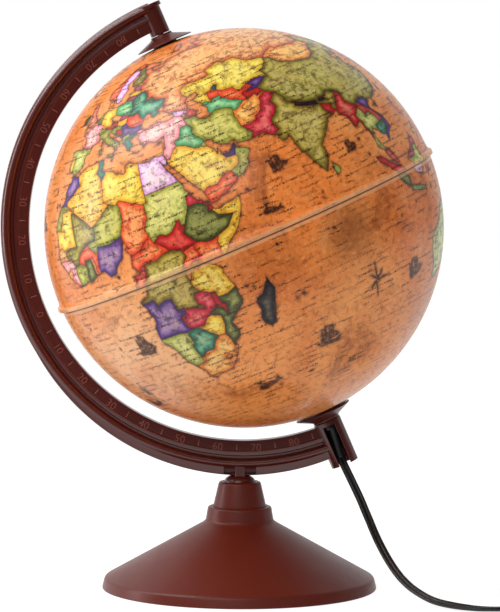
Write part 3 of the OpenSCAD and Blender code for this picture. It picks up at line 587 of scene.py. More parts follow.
def rounded(corners: list[Point], closed: bool = False, steps: int = 6) -> list[Flat]:
    """An outline through corners, each rounded by a curve.

    Args:
        corners: Rows of x, y and the rounding there, in millimetres.
        closed: Whether the last corner joins the first.
        steps: Segments in each rounding.

    Returns:
        The outline's points.
    """
    last = len(corners) - 1
    outline: list[Flat] = []
    for index, (x, y, radius) in enumerate(corners):
        if radius <= 0 or (not closed and index in (0, last)):
            outline.append((x, y))
            continue
        here = Vector((x, y))
        ends = []
        for other in (corners[index - 1], corners[(index + 1) % len(corners)]):
            away = Vector((other[0], other[1])) - here
            ends.append(here + away.normalized() * min(radius, away.length * 0.48))
        for step in range(steps + 1):
            t = step / steps
            spot = ends[0] * (1 - t) ** 2 + here * 2 * t * (1 - t) + ends[1] * t * t
            outline.append((spot.x, spot.y))
    return outline


def skin(rings: list[list[Vector]], closed: bool = False) -> Mesh:
    """A closed mesh through rings of points, in millimetres, with a UV map along the run.

    Args:
        rings: Rings with equal counts.
        closed: Whether the last ring joins the first; otherwise both ends are capped.

    Returns:
        The mesh.
    """
    mesh = bmesh.new()
    run = mesh.loops.layers.uv.new("run")
    made = [[mesh.verts.new(spot) for spot in ring] for ring in rings]
    count = len(rings[0])
    along = [0.0]
    for before, after in zip(rings, rings[1:]):
        along.append(along[-1] + (after[0] - before[0]).length * MM)
    if closed:
        along.append(along[-1] + (rings[0][0] - rings[-1][0]).length * MM)
    pairs = len(rings) if closed else len(rings) - 1
    for i in range(pairs):
        first, second = made[i], made[(i + 1) % len(made)]
        for k in range(count):
            after = (k + 1) % count
            face = mesh.faces.new((first[k], first[after], second[after], second[k]))
            values = ((k, i), (k + 1, i), (k + 1, i + 1), (k, i + 1))
            for corner, (u, v) in zip(face.loops, values):
                corner[run].uv = (u / count, along[v])
    if not closed:
        mesh.faces.new(list(reversed(made[0])))
        mesh.faces.new(made[-1])
    return mesh


def lathe(outline: list[Flat], steps: int = 192, closed: bool = True) -> Mesh:
    """A turned solid about the Z axis, in millimetres.

    Args:
        outline: Rows of radius and height; a closed outline is a ring, an open one starts and
            ends on the axis.
        steps: Segments round.
        closed: Whether the outline closes on itself.

    Returns:
        The mesh, its poles merged.
    """
    angles = [2 * pi * step / steps for step in range(steps)]
    mesh = skin([[Vector((r * cos(a), r * sin(a), z)) for r, z in outline] for a in angles], closed=True)
    if not closed:
        open_at = len(outline) - 1
        strip = [face for index, face in enumerate(mesh.faces) if index % len(outline) == open_at]
        bmesh.ops.delete(mesh, geom=strip, context="FACES")
    bmesh.ops.remove_doubles(mesh, verts=mesh.verts, dist=1e-4)
    bmesh.ops.dissolve_degenerate(mesh, edges=mesh.edges, dist=1e-5)
    return mesh


def block(low: Point, high: Point) -> Mesh:
    """A box between two corners, in millimetres.

    Args:
        low: The corner with the lowest numbers.
        high: The corner across from it.

    Returns:
        The mesh.
    """
    size = Vector(high) - Vector(low)
    mesh = bmesh.new()
    move = Matrix.Translation((Vector(high) + Vector(low)) / 2) @ Matrix.Diagonal((*size, 1))
    bmesh.ops.create_cube(mesh, size=1.0, matrix=move)
    return mesh


def prism(outline: list[Flat], low: float, high: float) -> Mesh:
    """An outline in X and Y drawn up along Z, in millimetres."""
    return skin([[Vector((x, y, z)) for x, y in outline] for z in (low, high)])


def solid(name: str, mesh: Mesh, material: Material, place: Matrix | None = None,
          sharp: float = 32.0) -> Object:
    """Turns a mesh in millimetres into an object in metres.

    Args:
        name: The object's name.
        mesh: The mesh, freed afterwards.
        material: Its finish.
        place: Where it goes, in millimetres.
        sharp: Angle past which an edge stays sharp, in degrees.

    Returns:
        The object, smooth but for its sharp edges.
    """
    if place is not None:
        bmesh.ops.transform(mesh, matrix=place, verts=mesh.verts)
    bmesh.ops.recalc_face_normals(mesh, faces=mesh.faces)
    bmesh.ops.scale(mesh, vec=(MM, MM, MM), verts=mesh.verts)
    data = bpy.data.meshes.new(name)
    mesh.to_mesh(data)
    mesh.free()
    data.materials.append(material)
    made = linked(name, data)
    soften(made, sharp)
    return made


def soften(piece: Object, sharp: float = 32.0) -> None:
    """Shades a piece smooth, with edges past an angle kept sharp."""
    piece.data.shade_smooth()
    piece.data.set_sharp_from_angle(angle=radians(sharp))


def applied(piece: Object) -> None:
    """Bakes a piece's modifiers into its mesh."""
    graph = bpy.context.evaluated_depsgraph_get()
    data = bpy.data.meshes.new_from_object(piece.evaluated_get(graph))
    piece.modifiers.clear()
    piece.data = data


def bevelled(piece: Object, width: float, steps: int = 3, angle: float = 40.0) -> Object:
    """Rounds a piece's sharp edges.

    Args:
        piece: The piece.
        width: Width of the rounding, in millimetres.
        steps: Segments in it.
        angle: Edges sharper than this are rounded, in degrees.

    Returns:
        The same piece.
    """
    edge = piece.modifiers.new("edges", "BEVEL")
    edge.width, edge.segments = width * MM, steps
    edge.limit_method, edge.angle_limit = "ANGLE", radians(angle)
    applied(piece)
    soften(piece)
    return piece


def combine(first: Object, second: Object, how: Combine) -> Object:
    """Joins or cuts two closed solids exactly.

    Args:
        first: The solid that stays.
        second: The solid that is used up.
        how: Join or cut.

    Returns:
        The first solid.
    """
    step = first.modifiers.new("combine", "BOOLEAN")
    step.object, step.operation, step.solver = second, how.value, "EXACT"
    applied(first)
    bpy.data.objects.remove(second)
    soften(first)
    return first


class BarRow:
    """A Geometry Nodes tree that sets bars in a straight row or round an arc."""

    INPUTS = (("Count", "Int"), ("Start", "Vector"), ("Stride", "Vector"), ("First Angle", "Float"),
              ("Angle Step", "Float"), ("Radius", "Float"), ("Bar Size", "Vector"), ("Finish", "Material"))

    def __init__(self) -> None:
        """Builds the tree once."""
        self.group = bpy.data.node_groups.new("bar_row", "GeometryNodeTree")
        for name, kind in self.INPUTS:
            self.group.interface.new_socket(name, in_out="INPUT", socket_type=f"NodeSocket{kind}")
        self.group.interface.new_socket("Geometry", in_out="OUTPUT", socket_type="NodeSocketGeometry")
        tree = Tree(self.group)
        outputs = self.group.nodes.new("NodeGroupInput").outputs
        given = {name: Sock(tree, outputs[name]) for name, _ in self.INPUTS}
        index = tree.node("GeometryNodeInputIndex")
        angle = index * given["Angle Step"] + given["First Angle"]
        spot = tree.node("ShaderNodeCombineXYZ", None, {
            "X": angle.of("COSINE") * given["Radius"], "Z": angle.of("SINE") * given["Radius"]})
        walk = tree.node("ShaderNodeVectorMath", {"operation": "SCALE"}, {0: given["Stride"], "Scale": index})
        for step in (walk, given["Start"]):
            spot = tree.node("ShaderNodeVectorMath", {"operation": "ADD"}, {0: spot, 1: step})
        points = tree.node("GeometryNodePoints", None, {"Count": given["Count"], "Position": spot})
        turn = tree.node("ShaderNodeCombineXYZ", None, {"Y": angle * -1.0})
        bar = tree.node("GeometryNodeMeshCube", None, {"Size": given["Bar Size"]})
        row = tree.node("GeometryNodeInstanceOnPoints", None, {
            "Points": points, "Instance": bar, "Rotation": turn})
        row = tree.node("GeometryNodeRealizeInstances", None, {"Geometry": row})
        row = tree.node("GeometryNodeSetMaterial", None, {"Geometry": row, "Material": given["Finish"]})
        tree.end(row, "NodeGroupOutput")

    def make(self, name: str, rounding: float, **values: object) -> Object:
        """One finished row.

        Args:
            name: The object's name.
            rounding: Rounding of each bar's edges, in millimetres.
            values: The tree's inputs by name, with _ for a space; lengths in metres.

        Returns:
            The row as a plain mesh.
        """
        row = linked(name, bpy.data.meshes.new(name))
        step = row.modifiers.new("row", "NODES")
        step.node_group = self.group
        for item in self.group.interface.items_tree:
            if item.in_out == "INPUT":
                unset = (0.0, 0.0, 0.0) if "Vector" in item.socket_type else 0.0
                step[item.identifier] = values.get(item.name.replace(" ", "_"), unset)
        applied(row)
        return bevelled(row, rounding, steps=2)


@dataclass
class Studio:
    """The camera at the photograph's viewing angle, a white floor and soft lamps."""

    eye: Point = (0.00613, -2.335, 0.373)
    look_down: float = 4.60
    roll: float = 0.28
    focal_px: float = 3590.0
    photo_height: float = 612.0
    film: float = 36.0
    floor_half: float = 4.0
    floor_front: float = 0.5
    floor_z: float = -0.2
    floor_grey: tuple = (0.86, 0.3)
    floor_glow: float = 0.86
    ambient: float = 0.5
    dim: float = 0.03
    room: Flat = (0.1, 0.9)
    bright: Point = (-0.4, 0.9, 0.17)
    aim: Point = (0.0, 0.0, 0.2)
    lamps: tuple = (
        ("softbox_top", (-0.9, -0.2, 1.26), (0.6, 0.8), 11.0),
        ("softbox_front", (-0.7, -2.1, 1.7), (1.8, 1.0), 20.0),
        ("rim_left", (-1.3, 0.1, 0.35), (0.2, 1.6), 8.0),
        ("rim_right", (1.3, 0.5, 0.4), (0.6, 1.6), 2.0),
    )

    def build(self) -> None:
        """Sets camera, world, floor and lamps."""
        self._camera()
        self._world()
        self._floor()
        for lamp in self.lamps:
            self._lamp(*lamp)
        log.info("studio ready")

    def _camera(self) -> None:
        """The camera; its lens gives the photograph's focal length in its own pixels."""
        data = bpy.data.cameras.new("camera")
        data.sensor_width = self.film
        data.lens = self.focal_px * self.film / self.photo_height
        data.clip_end = 50.0
        camera = linked("camera", data)
        tilt = Matrix.Rotation(radians(90 - self.look_down), 4, "X")
        roll = Matrix.Rotation(radians(self.roll), 4, "Z")
        camera.matrix_world = Matrix.Translation(self.eye) @ tilt @ roll
        bpy.context.scene.camera = camera
        bpy.context.scene.view_settings.view_transform = "Standard"

    def _world(self) -> None:
        """White behind the globe, a plain light all round, and in reflections a dim camera side."""
        shader = Shader("studio", bpy.data.worlds)
        way = shader.node("ShaderNodeTexCoord", out="Generated")
        behind = shader.measure("DOT_PRODUCT", way, self.bright).band(*self.room)
        shiny = shader.node("ShaderNodeLightPath", out="Is Glossy Ray")
        mirrored = self.dim + (1.0 - self.dim) * behind
        light = self.ambient + shiny * (mirrored - self.ambient)
        strength = light + self._seen(shader, "Camera", "Transmission") * (1.0 - light)
        shader.end(shader.node("ShaderNodeBackground", None, {"Color": WHITE, "Strength": strength}),
                   "ShaderNodeOutputWorld")
        bpy.context.scene.world = shader.material

    @staticmethod
    def _seen(shader: Shader, *kinds: str) -> Sock:
        """One for rays of the given kinds."""
        rays = [shader.node("ShaderNodeLightPath", out=f"Is {kind} Ray") for kind in kinds]
        return reduce(Sock.peak, rays)

    def _floor(self) -> None:
        """A white floor that keeps the object's shadow."""
        shader = Shader("floor_white")
        glow = shader.node("ShaderNodeEmission", None, {"Color": WHITE, "Strength": self.floor_glow})
        matt, part = (shader.node("ShaderNodeBsdfDiffuse", None, {"Color": (grey, grey, grey, 1.0)})
                      for grey in self.floor_grey)
        shown = shader.node("ShaderNodeAddShader", None, {0: glow, 1: part})
        seen = self._seen(shader, "Camera", "Glossy", "Transmission")
        shader.end(shader.node("ShaderNodeMixShader", None, {0: seen, 1: matt, 2: shown}),
                   "ShaderNodeOutputMaterial")
        half, near = self.floor_half / MM, -self.floor_front / MM
        mesh = bmesh.new()
        corners = ((-half, near), (half, near), (half, half), (-half, half))
        mesh.faces.new([mesh.verts.new((x, y, self.floor_z)) for x, y in corners])
        solid("floor", mesh, shader.material)

    def _lamp(self, name: str, place: Point, size: Flat, power: float) -> None:
        """One soft rectangle aimed at the globe.

        Args:
            name: The lamp's name.
            place: Where it stands.
            size: Its width and height.
            power: Its power, in watts.
        """
        data = bpy.data.lights.new(name, "AREA")
        data.shape, data.size, data.size_y, data.energy = "RECTANGLE", *size, power
        turn = (Vector(self.aim) - Vector(place)).to_track_quat("-Z", "Y").to_matrix().to_4x4()
        linked(name, data).matrix_world = Matrix.Translation(place) @ turn


LEAD_ROUTE = """
0.0642 0 0.092 0 -1 0,0.0659 -0.0002 0.0864 0 -1 0,0.0686 -0.0016 0.0804 0 -1 0.1,
0.0726 -0.0046 0.0724 0 -1 0.1,0.0758 -0.0076 0.066 0 -1 0.1,0.0789 -0.0108 0.0596 0 -1 0.1,
0.0816 -0.0144 0.0534 0 -1 0.2,0.0843 -0.0184 0.0474 0 -1 0.2,0.0869 -0.023 0.0414 0 -1 0.2,
0.0897 -0.0282 0.0356 0 -1 0.3,0.0928 -0.0342 0.03 0 -1 0.3,0.0962 -0.041 0.0246 0 -1 0.4,
0.1002 -0.0486 0.0192 0 -1 0.5,0.1052 -0.0574 0.014 0 -1 0.7,0.112 -0.0668 0.0092 0 -1 1,
0.1226 -0.0788 0.0048 0 -0.8 1,0.1344 -0.0866 0.0029 0 -0.6 1,0.1484 -0.0914 0.0018 0 -0.2 1,
0.1586 -0.0924 0.0015 0 0 1,0.167 -0.092 0.0015 0 0 1,0.1758 -0.09 0.0015 0 0 1,0.1834 -0.0848 0.0015 0 0 1,
0.1884 -0.077 0.0016 0 0 1,0.19 -0.068 0.0022 0 0 1,0.19 -0.059 0.0042 0 0 1,0.19 -0.051 0.006 0 0 1,
0.19 -0.044 0.0064 0 0 1
"""
LINK_ROUTE = """
0.19 0.01 0.0064 0 0 1,0.19 0.017 0.006 0.2 0 1,0.1896 0.024 0.005 0.8 0 1,0.1888 0.031 0.0041 1 0 0.5,
0.1882 0.0376 0.0036 1 0 0.1,0.188 0.0426 0.0035 1 0 0,0.188 0.0466 0.0035 1 0 0
"""
TAIL_ROUTE = """
0.264 0.0466 0.0095 1 0 0,0.264 0.0426 0.0094 1 0 0,0.2632 0.036 0.0088 1 0 0.2,0.2608 0.028 0.0074 1 0 0.8,
0.2576 0.02 0.0062 0.4 0 1,0.2546 0.012 0.006 0 0 1,0.2525 0.004 0.0066 0 0 1,0.252 -0.004 0.00685 0 0 1
"""


@dataclass
class Cord:
    """The flat twin cord: its lead, and its stored length from the switch to the plug."""

    finishes: Finishes
    width: float = 0.0054
    thick: float = 0.0028
    web: float = 0.6
    coil_at: Point = (0.226, 0.052, 0.0035)
    coil_radius: float = 0.038
    coil_step: float = 0.0059
    coil_layer: float = 0.006
    coil_turns: float = 5.5
    coil_steps: int = 48
    smooth_steps: int = 6

    def _section(self) -> list[Flat]:
        """The figure-of-eight section, two round leads with a web between them."""
        lobe = self.thick / 2
        shift, web = self.width / 2 - lobe, lobe * self.web
        right = [(shift + lobe * cos(radians(a)), lobe * sin(radians(a)))
                 for a in range(-130, 131, 26)]
        return right + [(0.0, web)] + [(-x, -y) for x, y in right] + [(0.0, -web)]

    def _smoothed(self, route: str) -> list[tuple[Vector, Vector]]:
        """A smooth line through a route's places, each with the way that the flat side faces there.

        Args:
            route: Rows of a place and the way that the flat side faces, in metres.

        Returns:
            Places and facings.
        """
        rows = drawn(route)[0]
        spots, faces = [Vector(row[:3]) for row in rows], [Vector(row[3:]) for row in rows]
        line = []
        for i in range(len(spots) - 1):
            before, here, after = spots[max(i - 1, 0)], spots[i], spots[i + 1]
            beyond = spots[min(i + 2, len(spots) - 1)]
            bend = 2 * before - 5 * here + 4 * after - beyond
            sway = 3 * here - before - 3 * after + beyond
            for step in range(self.smooth_steps):
                t = step / self.smooth_steps
                spot = 0.5 * (2 * here + (after - before) * t + bend * t * t + sway * t ** 3)
                line.append((spot, faces[i].lerp(faces[i + 1], t)))
        line.append((spots[-1], faces[-1]))
        return line

    def _coil(self) -> list[tuple[Vector, Vector]]:
        """The stored coil: in and out again at a steady rate, climbing where the spiral reverses."""
        line = []
        half = self.coil_turns / 2
        for step in range(int(self.coil_turns * self.coil_steps) + 1):
            u = step / self.coil_steps
            radius = self.coil_radius - self.coil_step * (half - abs(u - half))
            climb = min(max(2 * (u - half) + 0.5, 0.0), 1.0)
            out = polar(pi - 2 * pi * u).to_3d()
            up = Vector((0.0, 0.0, self.coil_layer * climb * climb * (3 - 2 * climb)))
            line.append((Vector(self.coil_at) + out * radius + up, out))
        return line

    def _tube(self, name: str, line: list[tuple[Vector, Vector]]) -> Object:
        """Sweeps the section along a line.

        Args:
            name: The piece's name.
            line: Places and facings.

        Returns:
            The piece.
        """
        rings = []
        for i, (spot, face) in enumerate(line):
            along = (line[min(i + 1, len(line) - 1)][0] - line[max(i - 1, 0)][0]).normalized()
            wide = along.cross(face).normalized()
            thin = wide.cross(along).normalized()
            rings.append([(spot + wide * a + thin * b) / MM for a, b in self._section()])
        return solid(name, skin(rings), self.finishes.by_slot["cord_black"], sharp=50.0)

    def build(self, on_lead: list[Object], on_end: list[Object]) -> None:
        """Makes both stretches, each in place of its CAD nodes, and logs their lengths.

        Args:
            on_lead: The pieces on the lead: its relief and the switch.
            on_end: The pieces past the switch: the tie and the plug.
        """
        lead = self._smoothed(LEAD_ROUTE)
        rest = self._smoothed(LINK_ROUTE) + self._coil() + self._smoothed(TAIL_ROUTE)
        for name, line, nodes, route, end, lay, pieces in (
            ("cord_to_switch", lead, ("cord_lead",), LEAD_ROUTE, "fitting", "loose", on_lead),
            ("cord_to_plug", rest, ("cord_link", "cord_coil", "cord_tail"), LINK_ROUTE, "plug", "coiled",
             on_end),
        ):
            piece = dress(self._tube(name, line), Body.STAND, "cord_black", *nodes)
            length = sum((after[0] - before[0]).length for before, after in zip(line, line[1:]))
            log.info("%s is %.0f mm long", name, length / MM)


@dataclass
class Foot:
    """The hollow conical foot and the neck that stands in its collar."""

    finishes: Finishes
    foot: tuple = (
        (87.4, 0.0, 0.4), (90.0, 0.0, 0.8), (88.3, 6.9, 1.5), (24.4, 42.8, 2.6), (22.2, 44.6, 1.0),
        (20.7, 53.7, 1.6), (17.45, 53.7, 0.3), (17.45, 48.9, 0.0), (8.1, 48.9, 0.3), (8.1, 23.0, 0.0),
        (2.1, 23.0, 0.0), (2.1, 20.0, 0.0), (11.0, 20.0, 0.5), (11.0, 46.3, 0.8), (19.6, 46.3, 1.0),
        (19.6, 42.7, 1.2), (85.7, 5.6, 2.0),
    )
    neck: tuple = (
        (14.9, 48.95, 0.2), (17.3, 48.95, 0.2), (17.3, 53.9, 0.4), (13.6, 70.0, 1.8), (10.5, 70.0, 0.5),
        (10.5, 68.8, 0.2), (8.1, 68.8, 0.2), (8.1, 65.6, 0.2), (11.2, 65.6, 0.4), (14.9, 53.7, 0.4),
    )

    def build(self) -> None:
        """Makes both turned pieces."""
        brown = self.finishes.by_slot["foot_brown"]
        for name, outline, node in (("foot", self.foot, "base_shell"), ("neck", self.neck, "neck_sleeve")):
            turned = lathe(rounded(list(outline), closed=True), steps=256)
            dress(solid(name, turned, brown, sharp=38.0), Body.STAND, "foot_brown", node)


@dataclass
class Arm:
    """The half-meridian arm with its numbers, boss, saddle and open sleeve."""

    finishes: Finishes
    axis: Axis
    rows: BarRow
    rise: float = 0.8
    inner_r: float = 139.6
    step_r: float = 146.6
    band_y: float = 5.0
    groove: tuple = ((149.3, 5.25, 0.35), (149.8, 3.9, 0.3), (151.3, 3.8, 0.4))
    bead_mid: Flat = (154.25, 4.85)
    bead_round: float = 2.6
    edge: tuple = ((157.4, 5.5, 0.3), (158.0, 4.9, 0.4), (158.0, 0.0, 0.0))
    arc_steps: int = 300
    sole_from: float = 195.5
    sole_in: float = 153.4
    sole_r: float = 153.6
    sole_drop: float = 8.7
    sole_y: float = 5.7
    sole_round: float = 1.1
    sole_steps: int = 140
    pocket_x: Flat = (3.1, 10.6)
    pocket_y: Flat = (2.1, 8.0)
    pocket_z: Flat = (75.33, 80.13)
    dome: tuple = (
        (0.0, 23.1, 0.0), (8.0, 23.1, 0.5), (8.0, 68.8, 0.0), (10.2, 68.8, 0.0), (10.2, 70.3, 0.5),
        (9.3, 72.2, 1.0), (6.4, 74.0, 1.2), (3.0, 75.6, 0.8), (0.0, 75.6, 0.0),
    )
    rib: tuple = ((-3.1, -6.2, 71.9), (3.1, 6.2, 81.1))
    rib_round: float = 0.7
    screw_hole: Point = (1.6, 20.0, 40.0)
    pin_hole: Flat = (2.05, 150.0)
    boss_r: float = 6.5
    boss_from: float = 137.05
    boss_to: float = 155.05
    boss_rim: Flat = (8.0, 157.85)
    boss_dish: Point = (4.6, 4.4, 0.5)
    boss_room: Point = (4.0, 130.0, 152.0)
    sleeve_r: float = 9.2
    sleeve_bore: float = 6.2
    sleeve_from: float = 137.05
    sleeve_ring: float = 3.0
    sleeve_ring_bore: float = 6.0
    sleeve_to: float = 167.65
    sleeve_room: Point = (7.6, 130.0, 172.0)
    sleeve_steps: int = 64
    slot_half: float = 3.85
    slot_room: tuple = ((-5.2, 0.0, 130.0), (5.2, 12.0, 172.0))
    digit_r: float = 144.5
    digit_height: float = 5.2
    digit_full: float = 1.38
    digit_thin: float = -0.06
    digit_proud: float = 0.3
    mark_r: float = 143.7
    mark_size: Point = (3.9, 0.6, 0.6)
    mark_proud: float = 0.02
    mark_round: float = 0.12

    def _centre(self) -> Vector:
        """Centre of the arm's arc."""
        return self.axis.centre + self.axis.north * self.rise

    def _brown(self, name: str, mesh: Mesh, place: Matrix | None = None) -> Object:
        """A solid in the arm's own finish."""
        return solid(name, mesh, self.finishes.by_slot["arm_brown"], place)

    def _at(self, radius: float, angle: float, y: float) -> Vector:
        """A point of the arm's plane: radius, angle from +X towards +Z, and depth."""
        return self._centre() + Vector((radius * cos(angle), y, radius * sin(angle)))

    def _section(self) -> list[Flat]:
        """The arm's section: radius across, thickness up."""
        x, y = self.bead_mid
        bead = [(x + self.bead_round * cos(radians(a)), y + self.bead_round * sin(radians(a)), 0.0)
                for a in range(190, 14, -11)]
        upper = rounded([
            (self.inner_r, 0.0, 0.0), (self.inner_r, self.band_y, 0.6), (self.step_r - 0.6, self.band_y, 0.1),
            (self.step_r, self.band_y + 0.5, 0.2), *self.groove, *bead, *self.edge,
        ], steps=4)
        return upper + [(r, -y) for r, y in reversed(upper[1:-1])]

    def _arc(self) -> Object:
        """The half ring itself."""
        start = pi / 2 + self.axis.lean
        angles = [start + pi * i / self.arc_steps for i in range(self.arc_steps + 1)]
        section = self._section()
        return self._brown("arm", skin([[self._at(r, angle, y) for r, y in section] for angle in angles]))

    def _sole(self) -> Object:
        """The wider lower edge, a crescent that grows towards the foot, with two pockets a side."""
        first, last = radians(self.sole_from), pi * 1.5 + self.axis.lean
        inner, bend, half = self.sole_in, self.sole_round, self.sole_y
        rings = []
        for i in range(self.sole_steps + 1):
            angle = first + (last - first) * i / self.sole_steps
            lead = -self.sole_drop * sin(angle)
            reach = lead + sqrt(lead * lead - self.sole_drop ** 2 + self.sole_r ** 2)
            corners = [(inner, -half, 0.0), (reach, -half, bend), (reach, half, bend), (inner, half, 0.0)]
            rings.append([self._at(r, angle, y) for r, y in rounded(corners, closed=True, steps=5)])
        sole = self._brown("sole", skin(rings))
        for side in (-1, 1):
            for face in (-1, 1):
                xs, ys = sorted(side * x for x in self.pocket_x), sorted(face * y for y in self.pocket_y)
                pocket = block(*zip(xs, ys, self.pocket_z))
                combine(sole, self._brown("pocket", pocket), Combine.CUT)
        return sole

    def _saddle(self) -> Object:
        """The dome and spigot that stand in the neck, with the rib that rises into the arm."""
        saddle = self._brown("saddle", lathe(rounded(list(self.dome)), closed=False, steps=96))
        combine(saddle, bevelled(self._brown("rib", block(*self.rib)), self.rib_round), Combine.JOIN)
        return combine(saddle, self._bore(self.screw_hole, steps=48), Combine.CUT)

    def _boss(self) -> Object:
        """The boss at the arm's top with its pin hole and rim."""
        pin_r, pin_to = self.pin_hole
        rim_r, rim_to = self.boss_rim
        dish_r, floor_r, dish = self.boss_dish
        outline = [
            (0.0, pin_to, 0.0), (pin_r, pin_to, 0.0), (pin_r, self.boss_from, 0.2),
            (self.boss_r, self.boss_from, 0.6), (self.boss_r, self.boss_to, 0.4), (rim_r, self.boss_to, 0.5),
            (rim_r, rim_to, 0.7), (dish_r, rim_to, 0.3), (floor_r, rim_to - dish, 0.2),
            (0.0, rim_to - dish, 0.0),
        ]
        return self._brown("boss", lathe(rounded(outline), closed=False, steps=96), self.axis.up())

    def _open_ring(self, radius: float, lip: float) -> list[Point]:
        """Corners of a circle that the slot leaves open, its two ends rounded by a lip.

        Args:
            radius: The circle's radius.
            lip: Rounding of its two ends.

        Returns:
            Rows of x, y and rounding.
        """
        mouth = asin(self.slot_half / radius)
        corners = []
        for i in range(self.sleeve_steps + 1):
            angle = pi / 2 + mouth + (2 * pi - 2 * mouth) * (i / self.sleeve_steps)
            corners.append((radius * cos(angle), radius * sin(angle), 0.0))
        for end in (0, -1):
            corners[end] = (*corners[end][:2], lip)
        return corners

    def _sleeve(self) -> Object:
        """The open sleeve: a C-shaped wall with rounded lips, closed by a ring at its top."""
        low, top, bore = self.sleeve_from, self.sleeve_from + self.sleeve_ring, self.sleeve_ring_bore
        outline = self._open_ring(self.sleeve_r, 1.3) + self._open_ring(self.sleeve_bore, 1.0)[::-1]
        wall = prism(rounded(outline, closed=True, steps=5), top - 0.5, self.sleeve_to)
        sleeve = bevelled(self._brown("sleeve", wall, self.axis.down()), 0.5)
        ring = [(bore, low, 0.2), (self.sleeve_r, low, 0.5), (self.sleeve_r, top, 0.0), (bore, top, 0.0)]
        collar = self._brown("ring", lathe(rounded(ring, closed=True), steps=96), self.axis.down())
        return combine(sleeve, collar, Combine.JOIN)

    def _bore(self, size: Point, place: Matrix | None = None, steps: int = 96) -> Object:
        """A round cutter of a radius, from one height to another."""
        radius, low, high = size
        shape = lathe([(0.0, low), (radius, low), (radius, high), (0.0, high)], closed=False, steps=steps)
        return self._brown("bore", shape, place)

    def _numbers(self) -> None:
        """Raised numbers every ten degrees and a mark midway between, on both faces of the band."""
        equator = pi + self.axis.lean
        numbers = bmesh.new()
        for face in (-1, 1):
            for step in range(-8, 9):
                numbers.from_mesh(self._digits(str(10 * abs(step)), equator + radians(10 * step), face))
        bmesh.ops.remove_doubles(numbers, verts=numbers.verts, dist=1e-6)
        data = bpy.data.meshes.new("arm_numbers")
        numbers.to_mesh(data)
        numbers.free()
        # The numbers' finish paints a highlight on them.
        data.materials.append(self.finishes.raised)
        dress(linked("arm_numbers", data), Body.STAND, "arm_brown")
        centre = self._centre()
        for face, name in ((-1, "arm_marks_front"), (1, "arm_marks_back")):
            # The marks get the same painted highlight.
            marks = self.rows.make(
                name, self.mark_round, Count=18, Radius=self.mark_r * MM, Finish=self.finishes.raised,
                Start=(centre.x * MM, face * (self.band_y + self.mark_proud) * MM, centre.z * MM),
                First_Angle=equator - radians(85), Angle_Step=radians(10),
                Bar_Size=tuple(size * MM for size in self.mark_size))
            dress(marks, Body.STAND, "arm_brown")

    def _digits(self, text: str, angle: float, face: int) -> bpy.types.Mesh:
        """One number as a raised mesh.

        Args:
            text: The number.
            angle: Its angle on the arm.
            face: -1 for the front face, 1 for the back.

        Returns:
            The number in its place, its top towards the ball.
        """
        curve = bpy.data.curves.new("digits", "FONT")
        curve.body, curve.align_x, curve.align_y, curve.resolution_u = text, "CENTER", "CENTER", 3
        curve.size = self.digit_height * self.digit_full * MM
        curve.extrude, curve.offset = self.digit_proud * MM, self.digit_thin * MM
        flat = linked("digits", curve)
        graph = bpy.context.evaluated_depsgraph_get()
        data = bpy.data.meshes.new_from_object(flat.evaluated_get(graph))
        bpy.data.objects.remove(flat)
        up = Vector((-cos(angle), 0.0, -sin(angle)))
        normal = Vector((0.0, face, 0.0))
        turn = Matrix((up.cross(normal), up, normal)).transposed().to_4x4()
        data.transform(Matrix.Translation(self._at(self.digit_r, angle, face * self.band_y) * MM) @ turn)
        return data

    def build(self) -> None:
        """Clears the arm where its hollow parts go, then joins them on."""
        arm = combine(self._arc(), self._sole(), Combine.JOIN)
        combine(arm, self._bore(self.boss_room, self.axis.up()), Combine.CUT)
        combine(arm, self._bore(self.sleeve_room, self.axis.down()), Combine.CUT)
        combine(arm, self._brown("slot", block(*self.slot_room), self.axis.down()), Combine.CUT)
        for part in (self._saddle(), self._boss(), self._sleeve()):
            combine(arm, part, Combine.JOIN)
        dress(arm, Body.STAND, "arm_brown", "arm")
        self._numbers()


@dataclass
class PoleCaps:
    """The two cone-shaped caps between the ball and the arm."""

    finishes: Finishes
    axis: Axis
    face: float = 130.3
    cap_r: float = 18.7
    north: Point = (7.1, 8.1, 2.0)
    south: tuple = (8.9, 16.1, 6.05, 13.7)

    def _outline(self, neck_r: float, hub_r: float, bore_r: float, hub_inner: float = 0.0) -> list[Flat]:
        """A cap's section with its hub inside the ball, hollow where an inner radius is given.

        Args:
            neck_r: Radius of the neck.
            hub_r: Radius of the hub.
            bore_r: Radius of the hole.
            hub_inner: Inner radius of a hollow hub.

        Returns:
            The outline.
        """
        z, low = self.face, self.face - 4.4
        room = [(bore_r, z - 0.6, 0.0), (hub_inner, z - 0.6, 0.3), (hub_inner, low, 0.2)]
        return rounded([
            *(room if hub_inner else [(bore_r, low, 0.2)]), (hub_r, low, 0.4), (hub_r, z, 0.1),
            (self.cap_r, z, 0.25), (self.cap_r, z + 0.55, 0.35), (neck_r + 1.6, z + 4.5, 1.0),
            (neck_r, z + 5.4, 0.6), (neck_r, z + 6.45, 0.3), (bore_r, z + 6.45, 0.2),
        ], closed=True)

    def build(self) -> None:
        """Makes both caps."""
        brown = self.finishes.by_slot["cap_brown"]
        for name, sizes, place, node in (("cap_north", self.north, self.axis.up(), "north_cap"),
                                         ("cap_south", self.south, self.axis.down(), "south_cap")):
            dress(solid(name, lathe(self._outline(*sizes)), brown, place), Body.GLOBE, "cap_brown", node)


